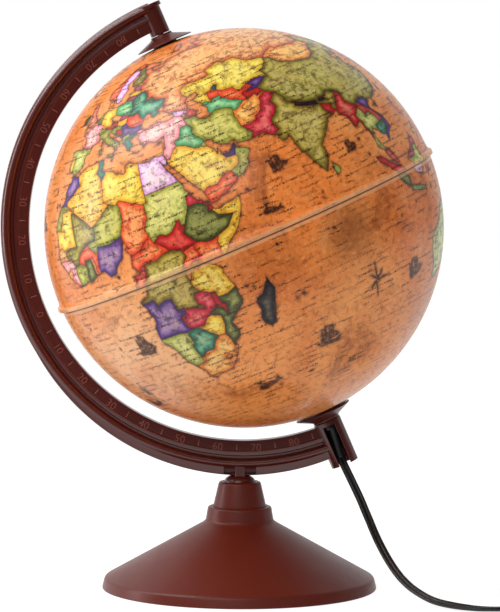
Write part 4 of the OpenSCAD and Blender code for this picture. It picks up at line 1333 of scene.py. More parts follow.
@dataclass
class FromFrame:
    """Pieces whose solids are right already: they are dressed, or copied and rounded."""

    finishes: Finishes
    dressed: tuple = (
        ("steel", ("north_pin", "base_washer", "base_screw", "lamp_tube", "switch_screws")),
        ("black_plastic", ("holder_cap", "holder_skirt", "plug_sleeves", "cord_inner")),
        ("cream_plastic", ("holder_insert",)),
        ("brass", ("thread_contact", "centre_contact", "terminal_screws", "switch_contacts")),
        ("lamp_glass", ("bulb_glass", "bulb_stem")),
        ("lamp_cap", ("bulb_screw_cap", "bulb_tip")),
        ("lamp_insulator", ("bulb_insulator",)),
        ("filament", ("bulb_filament",)),
        ("lead_blue", ("lead_cores",)),
        ("pin_nickel", ("plug_pins",)),
    )

    def build(self) -> None:
        """Gives each carried-over node its finish."""
        for name, nodes in self.dressed:
            finish = self.finishes.by_slot[name]
            for node in nodes:
                piece = frame["nodes"][node]
                if not piece.data.materials:
                    piece.data.materials.append(finish)
                for place in piece.material_slots:
                    place.material = finish
                log.info("node %s keeps its solid, finish %s", node, name)

    def rounded_copy(self, name: str, node: str, width: float, slot: str, body: Body) -> Object:
        """A copy of a node with its doubles merged and its edges rounded.

        Args:
            name: The piece's name.
            node: The node that it stands for.
            width: Rounding of its edges, in millimetres.
            slot: Its material slot.
            body: The body that it rides on.

        Returns:
            The piece.
        """
        mesh = bmesh.new()
        mesh.from_mesh(frame["nodes"][node].data)
        bmesh.ops.remove_doubles(mesh, verts=mesh.verts, dist=1e-6)
        bmesh.ops.dissolve_limit(mesh, angle_limit=radians(0.6), verts=mesh.verts, edges=mesh.edges)
        bmesh.ops.scale(mesh, vec=(1 / MM, 1 / MM, 1 / MM), verts=mesh.verts)
        copy = solid(name, mesh, self.finishes.by_slot[slot])
        return dress(bevelled(copy, width, angle=35.0), body, slot, node)


@dataclass
class OnTheCord:
    """The relief, the in-line switch, the tie and the plug."""

    finishes: Finishes
    copies: FromFrame
    rows: BarRow
    lead_copies: tuple = (
        ("relief", "cord_relief", 0.35, "black_plastic", Body.STAND),
        ("switch_lower_half", "switch_base", 0.7, "black_plastic", Body.STAND),
        ("switch_upper_half", "switch_cover", 0.9, "black_plastic", Body.STAND),
        ("switch_rocker_key", "switch_rocker", 0.5, "black_plastic", Body.ROCKER),
    )
    end_copies: tuple = (
        ("coil_band", "coil_tie", 0.2, "tie_black", Body.STAND),
        ("plug_relief_sleeve", "plug_relief", 0.4, "black_plastic", Body.STAND),
        ("plug_housing", "plug_body", 1.2, "black_plastic", Body.STAND),
    )
    switch_grips: tuple = (
        ("switch_grip_left", 0.2, 9, (179.05, -29.0, 7.4), (0.9, 1.2, 7.0)),
        ("switch_grip_right", 0.2, 9, (200.95, -29.0, 7.4), (0.9, 1.2, 7.0)),
    )
    plug_grip: tuple = ("plug_grip_over", 0.25, 6, (252.0, -49.0, 13.6), (18.0, 1.3, 0.9))
    grip_pitch: float = 3.0
    on_lead: list = field(default_factory=list)
    on_end: list = field(default_factory=list)

    def build(self) -> None:
        """Makes the pieces in the order that they sit on the cord."""
        nodes = frame["nodes"]
        lead = [self.copies.rounded_copy(*row) for row in self.lead_copies]
        end = [self.copies.rounded_copy(*row) for row in self.end_copies]
        grips = [self._grip(*row) for row in self.switch_grips]
        self.on_lead = [*lead, nodes["switch_contacts"], nodes["switch_screws"], *grips]
        self.on_end = [*end, self._grip(*self.plug_grip), nodes["plug_sleeves"], nodes["plug_pins"]]

    def _grip(self, name: str, rounding: float, count: int, start: Point, size: Point) -> Object:
        """A row of moulded ribs.

        Args:
            name: The piece's name.
            rounding: Rounding of each rib.
            count: How many ribs.
            start: Middle of the first.
            size: Size of each.

        Returns:
            The row.
        """
        row = self.rows.make(
            name, rounding, Count=count, Start=tuple(Vector(start) * MM), Bar_Size=tuple(Vector(size) * MM),
            Stride=(0.0, self.grip_pitch * MM, 0.0), Finish=self.finishes.by_slot["black_plastic"])
        return dress(row, Body.STAND, "black_plastic")


COASTS = """
323 312,315 315,303 315,290 309,275 311,252 316,232 323,220 329,205 326,200 318,201 309,191 303,178 309,
157 314,152 323,132 329,115 332,105 338,101 342,108 352,106 363,111 370,101 373,86 369,74 371,52 368,30 369,
10 364,-10 357,-22 351,-45 352,-54 359,-62 355,-69 340,-85 332,-93 323,-98 314,-96 302,-102 292,-115 283,
-129 278,-138 265,-148 254,-159 237,-170 215,-163 200,-163 185,-165 160,-175 147,-167 135,-167 124,-152 112,
-140 100,-132 90,-129 79,-115 69,-105 62,-93 53,-76 44,-60 48,-40 52,-20 48,-10 51,6 58,26 63,43 64,49 56,
60 43,75 44,86 46,90 40,97 38,98 26,96 14,95 4,88 -7,92 -20,106 -35,118 -46,122 -58,132 -75,132 -89,138 -106,
137 -120,126 -133,122 -150,118 -168,119 -182,132 -200,143 -220,145 -235,149 -258,154 -272,165 -287,173 -300,
182 -318,180 -328,184 -339,188 -344,200 -348,220 -341,245 -341,265 -338,282 -328,300 -312,310 -298,323 -286,
329 -270,328 -258,352 -246,355 -235,354 -222,349 -200,365 -186,385 -171,402 -160,407 -149,405 -125,404 -105,
396 -85,394 -70,388 -60,392 -48,400 -32,414 -19,428 -2,445 17,465 30,480 46,495 68,508 94,512 118,490 113,
470 112,450 105,433 113,432 125,424 133,412 146,398 151,390 165,385 180,374 189,372 210,362 226,356 240,
342 262,333 278,326 295,327 298,332 286,343 278,349 295,350 281,365 260,373 245,385 230,391 215,402 200,
412 185,424 170,428 152,433 132,436 127,450 128,465 134,485 140,505 150,522 156,530 166,550 170,563 180,
578 189,578 203,598 225,586 236,570 242,564 252,563 263,552 252,542 242,525 242,515 244,516 259,510 261,
506 249,502 260,501 267,488 280,481 294,485 300,495 301,506 296,510 286,525 274,545 266,563 271,571 269,
574 257,590 254,615 251,640 253,665 252,672 242,687 233,704 229,690 222,703 209,715 209,725 218,727 205,
728 189,734 162,744 144,750 124,763 98,775 81,782 89,793 103,799 118,803 133,801 152,814 163,824 170,840 183,
855 197,869 207,872 216,888 216,905 220,918 225,924 206,940 195,944 175,942 160,955 158,970 170,977 160,
978 140,986 120,986 100,983 82,1000 65,1004 52,1013 29,1035 13,1042 18,1034 40,1023 62,1006 72,999 93,
994 108,1000 133,1010 132,1022 122,1033 108,1048 102,1048 86,1067 103,1092 116,1093 135,1086 156,1066 177,
1058 193,1068 208,1082 216,1099 214,1102 203,1107 213,1136 222,1168 232,1188 247,1200 266,1218 289,1219 310,
1206 330,1193 350,1204 360,1226 371,1210 378,1190 373,1178 388,1212 409,1216 390,1243 399,1252 380,1263 368,
1264 345,1292 353,1294 370,1275 395,1298 414,1323 432,1355 445,1402 485,1413 532,1375 540,1355 550,1400 580,
1450 594,1510 592,1555 596,1600 616,1635 624,1640 600,1620 580,1568 575,1559 520,1568 510,1600 530,1625 563,
1660 600,1705 600,1770 625,1800 635,1845 646,1900 660,1840 675,1780 695,1700 700,1600 700,1500 715,1400 725,
1310 710,1270 735,1140 740,1040 775,950 760,870 750,810 735,800 720,740 728,725 710,730 680,685 685,668 710,
650 692,600 690,540 685,460 680,435 665,400 646,360 642,345 655,330 667,405 664,410 675,350 693,300 700,
255 710,190 700,140 675,110 645,80 633,50 620,50 600,57 587,75 580,105 593,113 585,128 560,143 555,160 565,
168 585,188 600,172 615,180 628,215 645,222 658,254 650,213 625,213 610,230 600,270 605,300 600,280 595,
240 594,235 585,243 575,215 574,210 555,190 544,143 540,110 542,109 560,105 576,82 570,82 550,88 540,70 535,
48 530,35 515,16 509,15 501,-2 495,-16 496,-15 487,-45 486,-42 478,-20 470,-12 455,-15 435,-40 434,-80 437,
-92 430,-88 410,-94 387,-89 370,-70 372,-62 364,-54 361,-22 367,-6 377,1 388,-3 396,8 408,32 419,32 432,
50 434,75 438,88 444,103 435,110 424,124 416,140 408,156 400,161 388,157 379,170 390,166 400,184 400,179 407,
159 419,136 436,124 446,123 454,137 456,137 449,150 445,165 434,185 423,194 415,194 402,210 386,214 370,
225 365,230 375,240 380,229 395,230 405,240 401,245 409,260 408,266 402,262 394,268 385,274 370,285 367,
306 368,325 361,340 363,360 368,358 350,355 339,349 325,342 313;
289 413,277 425,286 438,297 452,310 465,328 460,326 453,336 444,354 450,365 454,353 463,380 470,390 470,
375 452,390 441,414 426,416 415,395 411,370 412,350 420,325 417,300 412;
470 425,476 438,468 446,480 458,500 467,525 470,531 456,510 449,503 444,515 432,526 424,530 410,539 400,
536 388,539 370,515 367,498 374,489 384,493 394,502 403,490 411;
583 445,588 460,605 468,615 463,602 446;
318 -8,322 1,332 3,342 -3,338 -15,328 -25,318 -20;
-55 501,-35 503,13 511,17 526,2 532,-15 550,-20 576,-33 586,-50 585,-57 565,-48 548,-30 540,-45 532,-43 523,
-52 518,-30 514;
-100 520,-64 523,-61 535,-58 548,-75 553,-85 545,-100 542,-90 530;
-225 640,-185 635,-140 650,-150 662,-200 660,-225 663,-240 656,-220 645;
125 380,155 382,151 367,126 375;
83 390,95 392,96 410,83 408;
87 420,94 430,94 416;
236 355,262 353,250 349;
324 348,345 356,338 349;
520 710,570 710,680 768,600 760,550 735;
120 795,160 768,220 784,270 800,180 802;
-450 600,-420 620,-330 680,-220 705,-200 750,-120 815,-320 835,-600 820,-680 760,-580 750,-520 695,-530 650,
-480 610;
493 -120,504 -155,494 -180,476 -230,470 -250,452 -256,437 -238,433 -220,443 -200,440 -174,445 -162,465 -156,
480 -136;
798 85,802 98,818 75,812 63,800 61;
953 56,975 52,1000 28,1035 5,1045 -20,1060 -32,1058 -58,1045 -58,1020 -38,1003 -10,987 17,960 38;
1053 -68,1068 -60,1105 -69,1144 -78,1144 -87,1100 -82,1065 -74;
1092 16,1113 26,1130 32,1155 55,1169 70,1190 52,1178 30,1189 10,1175 6,1165 -30,1147 -41,1115 -33,1100 -13;
1190 -30,1198 0,1210 12,1250 15,1235 4,1205 4,1215 -12,1233 -10,1218 -22,1228 -45,1214 -46,1206 -30,1204 -56,
1195 -54;
1310 -8,1340 -9,1350 -33,1380 -17,1415 -27,1458 -54,1478 -63,1472 -80,1505 -104,1470 -94,1435 -84,1415 -92,
1380 -83,1378 -52,1335 -40,1330 -25;
1203 160,1207 185,1222 184,1216 160,1239 130,1210 137,1202 148;
1220 70,1240 86,1255 97,1265 72,1254 57,1240 70;
1201 230,1215 252,1210 220;
1087 192,1106 200,1102 185;
1302 314,1298 330,1310 343,1355 356,1370 373,1395 385,1402 410,1415 413,1420 395,1408 360,1390 348,1358 335,
1326 338,1315 315;
1403 416,1417 454,1453 435,1432 420;
1420 460,1420 540,1433 530,1432 492,1445 490;
1137 -225,1134 -262,1150 -300,1157 -320,1150 -342,1180 -350,1215 -339,1240 -330,1290 -316,1315 -315,
1340 -328,1358 -348,1378 -330,1382 -355,1400 -375,1436 -388,1463 -390,1499 -374,1513 -335,1531 -305,
1533 -275,1525 -248,1490 -205,1462 -188,1454 -150,1435 -142,1425 -108,1416 -135,1408 -175,1390 -173,
1355 -148,1368 -122,1325 -114,1305 -126,1295 -149,1270 -139,1250 -150,1222 -180,1190 -200,1165 -208;
1447 -408,1483 -409,1480 -430,1460 -435,1452 -420;
1727 -345,1755 -368,1784 -377,1768 -398,1752 -415,1738 -393,1748 -380;
1727 -406,1742 -417,1710 -445,1685 -466,1665 -459,1705 -430;
-600 -635,-570 -650,-620 -690,-620 -740,-450 -780,-350 -780,-250 -740,-120 -710,0 -700,200 -698,380 -695,
520 -660,700 -680,760 -695,900 -665,1100 -660,1300 -662,1450 -672,1600 -700,1700 -720,1650 -780,1800 -785,
2000 -775,2150 -760,2350 -740,2600 -730,2850 -730,2920 -680,2970 -650;
-1680 658,-1620 665,-1660 683,-1565 713,-1410 697,-1280 700,-1150 690,-1080 680,-960 680,-940 720,-820 695,
-870 640,-940 600,-920 570,-820 550,-800 515,-790 545,-770 580,-780 625,-700 610,-650 595,-620 570,-560 525,
-660 500,-650 480,-610 460,-660 445,-700 435,-705 417,-740 405,-760 370,-757 352,-810 320,-802 270,-805 252,
-820 270,-840 300,-895 300,-940 295,-974 270,-973 220,-950 185,-910 187,-903 210,-870 214,-880 175,-840 158,
-835 115,-815 90,-795 95,-773 86,-755 108,-720 122,-715 110,-680 115,-620 107,-600 85,-570 60,-515 44,-500 5,
-440 -25,-385 -37,-352 -55,-349 -80,-370 -110,-390 -140,-393 -180,-410 -220,-450 -235,-485 -260,-490 -285,
-525 -330,-550 -350,-580 -343,-570 -370,-620 -390,-650 -410,-637 -425,-673 -460,-660 -480,-690 -510,
-683 -525,-655 -548,-710 -545,-750 -500,-755 -465,-735 -415,-735 -370,-715 -310,-703 -220,-703 -184,
-760 -140,-798 -75,-813 -50,-800 -30,-807 -10,-790 15,-773 40,-778 75,-795 88,-803 75,-830 82,-858 100,
-877 130,-920 145,-950 160,-995 167,-1055 200,-1055 228,-1090 260,-1128 305,-1148 315,-1144 300,-1098 232,
-1120 250,-1150 285,-1170 325,-1206 346,-1240 400,-1243 475,-1280 510,-1310 550,-1370 588,-1460 610,
-1520 595,-1570 572,-1640 548,-1580 585,-1620 598,-1650 620,-1610 640;
-850 220,-800 230,-745 202,-780 200;
-740 198,-690 192,-715 179,-740 184;
-620 665,-680 690,-780 730,-900 735,-850 700,-740 670,-720 630,-650 625;
-620 825,-900 810,-880 770,-780 765;
-1050 693,-1170 698,-1170 728,-1060 732;
-590 478,-530 470,-555 514
"""
FRONTIERS = """
-22 353,-18 330,-12 322,-35 310,-50 300,-87 287,-87 277,-134 277;
-87 277,-87 260,-120 260,-120 234,-130 230,-130 213,-173 213;
-87 275,-48 250,12 211,32 191,42 192,75 209,120 235,100 245,94 262,99 280,95 302;
95 302,103 317,115 325,115 334;
95 302,91 321,75 338,83 350,86 371;
-48 250,-65 250,-55 155,-93 155,-110 153,-122 148,-140 164,-168 160;
-122 148,-114 124,-137 126,-170 125;
-114 124,-95 123,-80 102,-55 105,-28 97;
-135 91,-112 100,-104 86,-117 68;
-104 86,-93 76,-83 76,-74 42;
-80 102,-82 84,-83 76;
-55 105,-53 118,-42 130,-20 142,2 150,35 154,42 170,42 192;
2 150,4 140,22 125,24 120;
-28 97,-28 110,0 111,9 110,24 120,36 117;
-28 97,-25 82,-32 66,-31 49;
0 111,5 88,6 70,12 58;
9 110,14 95,17 60;
36 117,27 85,27 61;
36 117,41 135,70 130,90 129,115 134,136 137,141 125,132 100,120 77,106 70,92 62,85 44;
136 137,155 170,159 200,150 230;
120 235,142 226,150 230,160 235,240 196,240 200,250 200,250 220,250 318;
250 220,370 221;
240 196,240 158,224 135,223 126,229 110,210 100,186 81,155 76;
141 125,151 105,140 100,155 76,145 50,161 23,132 22,96 22;
132 22,144 10,139 -3,143 -22,125 -22,110 -39;
161 23,165 35,186 42,205 42,225 41,250 50,274 52;
186 42,178 4,162 -20,153 -43,132 -48,121 -54;
229 110,236 88,252 76,274 52;
236 88,260 103,280 94,300 98,320 118,331 120,331 105,342 104,330 80,350 52,359 46;
342 104,350 119,362 135,365 144,370 170,387 182;
365 144,390 145,410 138,423 124,418 110,429 110,435 114;
423 124,434 126;
429 110,440 92,479 80,450 50,420 41,410 28,410 -8,417 -19;
420 41,395 35,380 37,359 46,340 42,349 10,340 0,339 -10,376 -30,394 -49;
340 42,308 35,295 46,274 52;
308 35,312 22,299 6,296 -14,290 -27,294 -44,296 -65,308 -83,287 -85,284 -95,286 -118,298 -122,298 -134,
285 -127,270 -120,255 -117,240 -109;
296 -14,305 -10,318 -10,339 -10;
305 -10,309 -24,300 -42,294 -44;
240 -109,220 -110,218 -73,195 -70,170 -80,165 -60,120 -59;
240 -109,240 -130,220 -130,220 -162,234 -176,210 -180,185 -174,140 -174,116 -172;
308 -83,330 -95,332 -120,330 -140,302 -150,304 -157,329 -168,327 -195,313 -224,320 -245,320 -268,332 -269;
330 -95,345 -100,346 -116,375 -117,407 -105;
346 -116,346 -126,358 -145,353 -170,344 -148,330 -140;
234 -176,252 -178,270 -179,289 -160,304 -157;
252 -178,275 -205,293 -222,313 -224;
293 -222,270 -237,255 -257,228 -255,207 -269,200 -248;
234 -176,210 -183,210 -220,200 -220,200 -284,175 -288,162 -285;
270 -296,286 -287,294 -296,280 -306,270 -296;
341 314,349 294;
350 294,355 315,356 332,350 331;
356 332,364 345,358 347;
350 294,361 292,380 315,392 321,388 334,356 327;
388 334,412 345,424 372,385 368,367 368,358 359;
424 372,448 372,444 396,448 397,435 410,415 415;
392 321,420 312,447 292,465 291,477 301,483 299;
465 291,476 285,487 285;
485 299,477 310,460 330,455 345,462 356,448 372;
425 164,440 174,470 170,490 186,520 190,532 165;
520 190,550 200,557 220,552 227,525 230,514 245;
552 227,558 243,565 249;
507 248,516 244;
398 436,430 430,465 419,486 418;
435 410,450 413,465 412,465 419;
448 397,465 389,480 395,490 384;
450 413,465 389;
538 373,560 381,585 376,612 366,612 356,606 335,610 315,609 299,628 272,632 266,616 250;
612 356,625 354,645 363,665 374,680 370,695 373,712 379,716 368,735 374,749 373;
609 299,642 295,663 299,666 310,693 320,700 335,711 343,715 360,749 373;
749 373,775 355,740 335,746 315,732 297,705 280,702 265,710 245,679 233;
775 355,790 330,788 310,810 302,802 288,840 274,881 264,881 279,840 288,810 302;
881 279,889 275,889 272,900 268,920 269,917 278,900 282,889 275;
917 278,940 292,973 283,987 268,977 240,995 223,1012 215,1021 224,1050 232,1070 220,1081 214;
889 215,890 232,882 245,885 263,898 258,923 250,913 238,923 230,922 208;
921 220,933 240,947 255,973 283;
1012 215,1001 204,975 185,985 162,982 150,992 125,985 100;
1001 204,1012 195,1011 178,1035 183,1048 168,1055 144,1025 137,1026 119;
1021 224,1030 208,1045 195,1058 182,1075 156,1075 145,1055 144;
1075 145,1075 124,1060 112,1044 102;
1000 65,1023 60;
749 373,738 395,760 404,802 421,803 450,825 453,855 471,873 491;
802 421,760 430,710 423,730 408,705 401,695 395,738 395;
705 401,685 400,675 393,680 370;
710 423,680 410,665 419,660 430,620 435,585 456,560 450,560 413,540 422,524 417;
560 413,575 422,600 422,602 412,625 395,665 374;
490 461,470 480,470 500,505 516,545 510,585 510,615 514,610 538,650 545,690 553,710 542,768 543,800 508,
873 491;
873 491,920 507,980 520,983 505,1023 506,1060 503,1100 492,1167 498,1198 467,1160 463,1118 445,1110 433,
1050 416,970 427,910 452,900 479,873 491;
1167 498,1200 533,1260 528,1275 498,1310 477,1348 483,1330 450,1310 430,1306 424,1307 422;
1242 398,1280 420,1306 424;
1262 378,1286 386;
-90 419,-65 417,-70 390,-74 370;
-19 435,7 428,34 424;
75 436,70 459,60 463,76 476,82 490,63 495,42 500,23 512;
63 495,60 515,72 537;
70 459,90 460,105 468,96 475,76 476;
96 475,130 476,138 487,170 481,163 469,137 465,105 468;
137 465,137 455;
138 487,122 503,148 510,143 541;
84 549,100 548,110 546;
148 510,188 496,170 481,188 479,221 484,225 491,188 496;
225 491,240 508,236 526,236 540,227 544,197 545;
221 484,210 463,188 459,163 469,136 454;
221 484,248 478,267 483,282 455,298 453;
210 463,226 444,255 437,287 438;
226 444,224 423,230 414,263 417,282 420;
199 396,210 409,230 414;
263 417,260 407;
224 423,210 420,192 419;
188 459,190 449,193 435,184 423;
190 449,160 451,165 439,185 426;
240 516,305 513,320 532,310 555,282 561,266 557,236 540;
305 513,340 523,355 504,400 496,382 469;
282 561,275 575,280 596;
209 562,266 557;
242 578,275 575;
278 604,315 629,295 650,285 682,290 692,310 699;
240 654,237 680,205 690,257 690,280 700,290 692;
205 690,180 683,145 655,140 640,122 630,125 605,112 589;
1410 -24,1410 -94;
1093 19,1100 12,1140 13,1157 42,1180 42;
-1235 490,-950 490,-830 460,-825 420,-790 430,-750 450,-700 465,-668 448;
-1410 699,-1410 603,-1303 550;
-1173 325,-1110 313,-1065 318,-1030 290,-995 275,-970 259;
-924 144,-905 170,-878 182;
-713 120,-725 80,-675 60,-670 12,-695 -42,-735 -75,-705 -110,-653 -100,-600 -137,-580 -175,-580 -200,
-627 -222,-675 -228,-695 -175,-706 -184;
-705 -110,-695 -175;
-670 12,-640 40,-605 50,-600 15,-513 42;
-605 50,-598 87;
-790 14,-753 -1,-695 -42;
-804 -34,-753 -1;
-627 -222,-576 -253,-546 -256,-545 -240,-580 -200;
-546 -256,-538 -272,-576 -302,-533 -336;
-576 -302,-584 -342;
-675 -228,-700 -300,-715 -380,-720 -500,-683 -524;
1290 -314,1290 -150;
1410 -381,1410 -174;
1290 -260,1380 -260,1380 -172;
1380 -260,1410 -290
"""
ISLES = """
576 -203 9,555 -211 9,433 -117 6,451 -128 5,555 -46 6,539 125 11,734 34 4.5,732 16 4,725 -68 4,695 -493 15,
515 -464 6,378 -468 5,928 124 8,936 74 5,-162 283 9,-142 284 8,-170 327 5,-240 158 8,-255 378 6,66 3 6,
87 34 7,-57 -160 5,-144 -79 5,-123 -371 5,969 -122 4.5,1056 -105 5,1245 -94 14,1185 -86 13,1290 -33 13,
1280 10 13,145 359 5,280 362 7,-615 160 6,-1555 196 14,1780 -178 13,1655 -213 14,-590 -518 18,-910 -5 12,
1668 -154 11,-1495 -176 7,-663 182 10,-365 -544 10
"""
TINTS = """
222 146 98,90 62,142.6 50,57 73.5;
226 200 86,68 48,-8 39.5,24.9 56.9,-102 40,-70 -14;
150 142 62,103 33,109.6 19.3,121 23.5,-2.5 18,-4.3 16.5,-66 7,26 64.5;
238 172 98,104 46,66 33.5,24 -30.5,-68 -38,-100 58,9.3 56;
166 150 70,79 22,23 -3.5,28.3 1.5,-102 25;
212 62 92,68.5 28,26 -14.5,38.3 15.8,11.3 -0.6,104.5 -4.6;
181 179 92,55 33,-13.8 25.2,12 43.2,14 37.5,9 40,-54 -10,130 -5,137 -5.5;
128 192 150,59.5 39.2,43 33.2,18.8 51.9,-76 3.5,140 37.2;
234 112 72,62 42.6,46.5 15.4,38 1.2,25 46,-1.6 12.3,2.1 9.5,21.8 6.8,36.3 -2.2,-72 -35;
118 84 164,74.5 41.6,54.3 23.6,-6 32.3,8 9.6,18 -12.5,21 43.8,25 42.8,107.3 12,-64 -17;
204 52 60,71 38.8,30.2 6.8,17.8 44.2,96 21,43.1 12.1,90 24,101.4 1.2,34.2 -13.2,-58 -23;
74 42 76,84.2 28.1,90.4 27.5;
236 198 84,45 24.5,17.5 27,-10.4 19.3,47 5,50 10.4,10 51,35.6 -6.4,29.8 -19.2;
192 196 122,57 21,30 15.6,17.4 -22,80.8 7.6,101 15.2,47.3 29.4,-85.5 13,-4 40,112 0.2;
240 178 186,33 39,38.6 35.3,37 31,35.1 32.2,36 33.9,2.5 47,-11 11,-9.5 6.6,146 -6.6;
234 200 230,29 27,16 63,43.8 42.1,114 -1.7,-56 -33;
244 196 74,2.5 28,9.3 32.5,19.5 47,-74 -9,122.8 7.8;
72 150 132,9.6 35.6,24 -22.3,31 49,27.8 53.6,105 12.8,22 39.6,-62 -30,-79 21.8;
176 182 92,9.5 17,-5.6 7.4,16.5 45.6,8.2 46.9,20.5 41.3,-63.5 -13.5,5 51.6;
238 130 90,18 15,11 60.5,127.8 37.1,121.4 15.6,32.3 2,145.6 -18;
108 120 70,40 8.6,12.4 5.8,-1.2 7.6,38.5 -14,33.6 -21.5,103 -1.8,-8.2 53.2,-77.8 -1.4;
208 96 84,15.5 -0.6,102.5 19.6,102.3 3.8,14.5 47.5,47.6 40.6,-91 15.4,120 -4;
24 20 40,46.6 -19.5;
172 186 132,120 -25,147 -24,135 -20,139 -31,146.5 -42,170 -44,176 -38.5,107.5 -7.3;
224 176 120,-14.5 14.4,-11.8 8.5,1.1 8.2,15 49.6,28.2 -29.6,45 40.2,30 -2,127 40.2,17.9 41.5;
232 196 156,-42 72,0 -80,-19 65,20 79,-112 71.3,-78 80,-77 70;
226 160 140,-1.8 52.8,-55.8 49,-60 -3,-71 19,-150 65,9.1 42.2,25 35.15,33.3 35.1;
208 120 150,136.5 34.8,143.2 43.4,19 48.7,26 58.7,24 55.5,-54 4,115.6 5.2;
56 128 148,60 45.6
"""
INK = rgb(72, 40, 26)
SHIP = """
-7 0,-5.4 -2.5,5 -2.5,7.6 1.4,6 0.9,4.4 -0.4,-5.6 -0.4;
-4.4 0.8,-3.9 5,-0.9 4.4,-1.2 1.1;
-4 5.6,-3.6 8.6,-1.3 8.1,-1 5;
-0.3 0.9,0.2 6.2,3.3 5.4,2.9 1.2;
0.2 6.9,0.5 10,2.9 9.4,3.1 6.1;
3.9 1.4,4.2 4.9,6.6 2.6;
-1.5 8.8,-1.6 9.9,0 9.4
"""
WHALE = """
-6 0,-4.6 1.7,-2 2.4,1 1.9,3.4 0.8,5 1.5,6.4 3.2,6.2 1.2,7.6 0.2,5.6 -0.1,3.6 -0.9,0.6 -1.5,-2.6 -1.6,
-5.2 -1.2;
-3.6 3,-4.6 5.2,-3.2 4.4,-2.2 5.4,-2.7 3.1
"""
SHIPS_AT = """
65 13.5 1.05 6,4.5 -19 1.1 -4,88.5 11 0.6 8,61 -38 1.15 -6,101 -31 1.3 12,-32 22 1.1 0,-150 10 1.2 5,
-110 -30 1.2 -5
"""
WHALES_AT = "58 4.5 0.95 -10,34 -45 1.25 8,160 28 1.2 0,-20 -38 1.1 4"
ROSES = "82 -26 11,-14 -32 8,-140 35 7.5,172 5 6,-95 -8 6.5"


@dataclass
class Chart:
    """The printed world: its outlines in degrees and the colours of its regions."""

    isle_flat: float = 0.8
    isle_tints: int = 20
    past_end: float = 0.7
    rose_short: float = 0.62
    rose_wide: float = 0.2

    def outlines(self) -> list[list[Flat]]:
        """Every drawn line, closed ones ending where they start; the texts give tenths of a degree."""
        lines = [line + line[:1] for line in drawn(COASTS, 10)]
        for lon, lat, size in drawn(ISLES, 10)[0]:
            corners = [radians(a) for a in range(0, 361, 45)]
            ring = [(cos(a) * size, sin(a) * size * self.isle_flat) for a in corners]
            lines.append(self._placed(ring, lon, lat, 1.0, 0.0))
        return lines + [self._longer(line) for line in drawn(FRONTIERS, 10)]

    def _longer(self, line: list[Flat]) -> list[Flat]:
        """A frontier drawn on a little past both ends, so that it meets the coast.

        Args:
            line: The frontier.

        Returns:
            The longer line.
        """
        ends = []
        for end, before in ((line[0], line[1]), (line[-1], line[-2])):
            far = hypot(end[0] - before[0], end[1] - before[1])
            ends.append(tuple(a + (a - b) * self.past_end / far for a, b in zip(end, before)))
        return [ends[0], *line, ends[1]]

    def ornaments(self) -> list[list[Flat]]:
        """The closed shapes of ships, whales and compass roses."""
        shapes = [self._placed(line + line[:1], *place)
                  for drawing, places in ((SHIP, SHIPS_AT), (WHALE, WHALES_AT))
                  for place in drawn(places)[0] for line in drawn(drawing)]
        for lon, lat, size in drawn(ROSES)[0]:
            for point in range(8):
                reach = size if point % 2 == 0 else size * self.rose_short
                angle, side = radians(45 * point), radians(45 * point - 22.5)
                wide = size * self.rose_wide
                spots = [(0.0, 0.0), (wide * cos(side), wide * sin(side)),
                         (reach * cos(angle), reach * sin(angle)), (0.0, 0.0)]
                shapes.append(self._placed(spots, lon, lat, 1.0, 0.0))
        return shapes

    def seeds(self) -> list[tuple[float, float, Colour]]:
        """A place and a colour for every region of land."""
        tints = [(rgb(*colour), places) for colour, *places in drawn(TINTS)]
        found = [(lon, lat, colour) for colour, places in tints for lon, lat in places]
        for lon, lat, _ in drawn(ISLES, 10)[0]:
            found.append((lon, lat, tints[(int(abs(lon)) + int(abs(lat))) % self.isle_tints][0]))
        return found

    @staticmethod
    def _placed(shape: list[Flat], lon: float, lat: float, size: float, turn: float) -> list[Flat]:
        """Lays a flat drawing in millimetres on the ball.

        Args:
            shape: The drawing.
            lon: Degrees east.
            lat: Degrees north.
            size: How many times its size.
            turn: Degrees that it is turned by.

        Returns:
            The drawing in degrees.
        """
        unit = degrees(1 / BALL_R)
        c, s = cos(radians(turn)) * size, sin(radians(turn)) * size
        wide = unit / cos(radians(lat))
        return [(lon + (x * c - y * s) * wide, lat + (x * s + y * c) * unit) for x, y in shape]


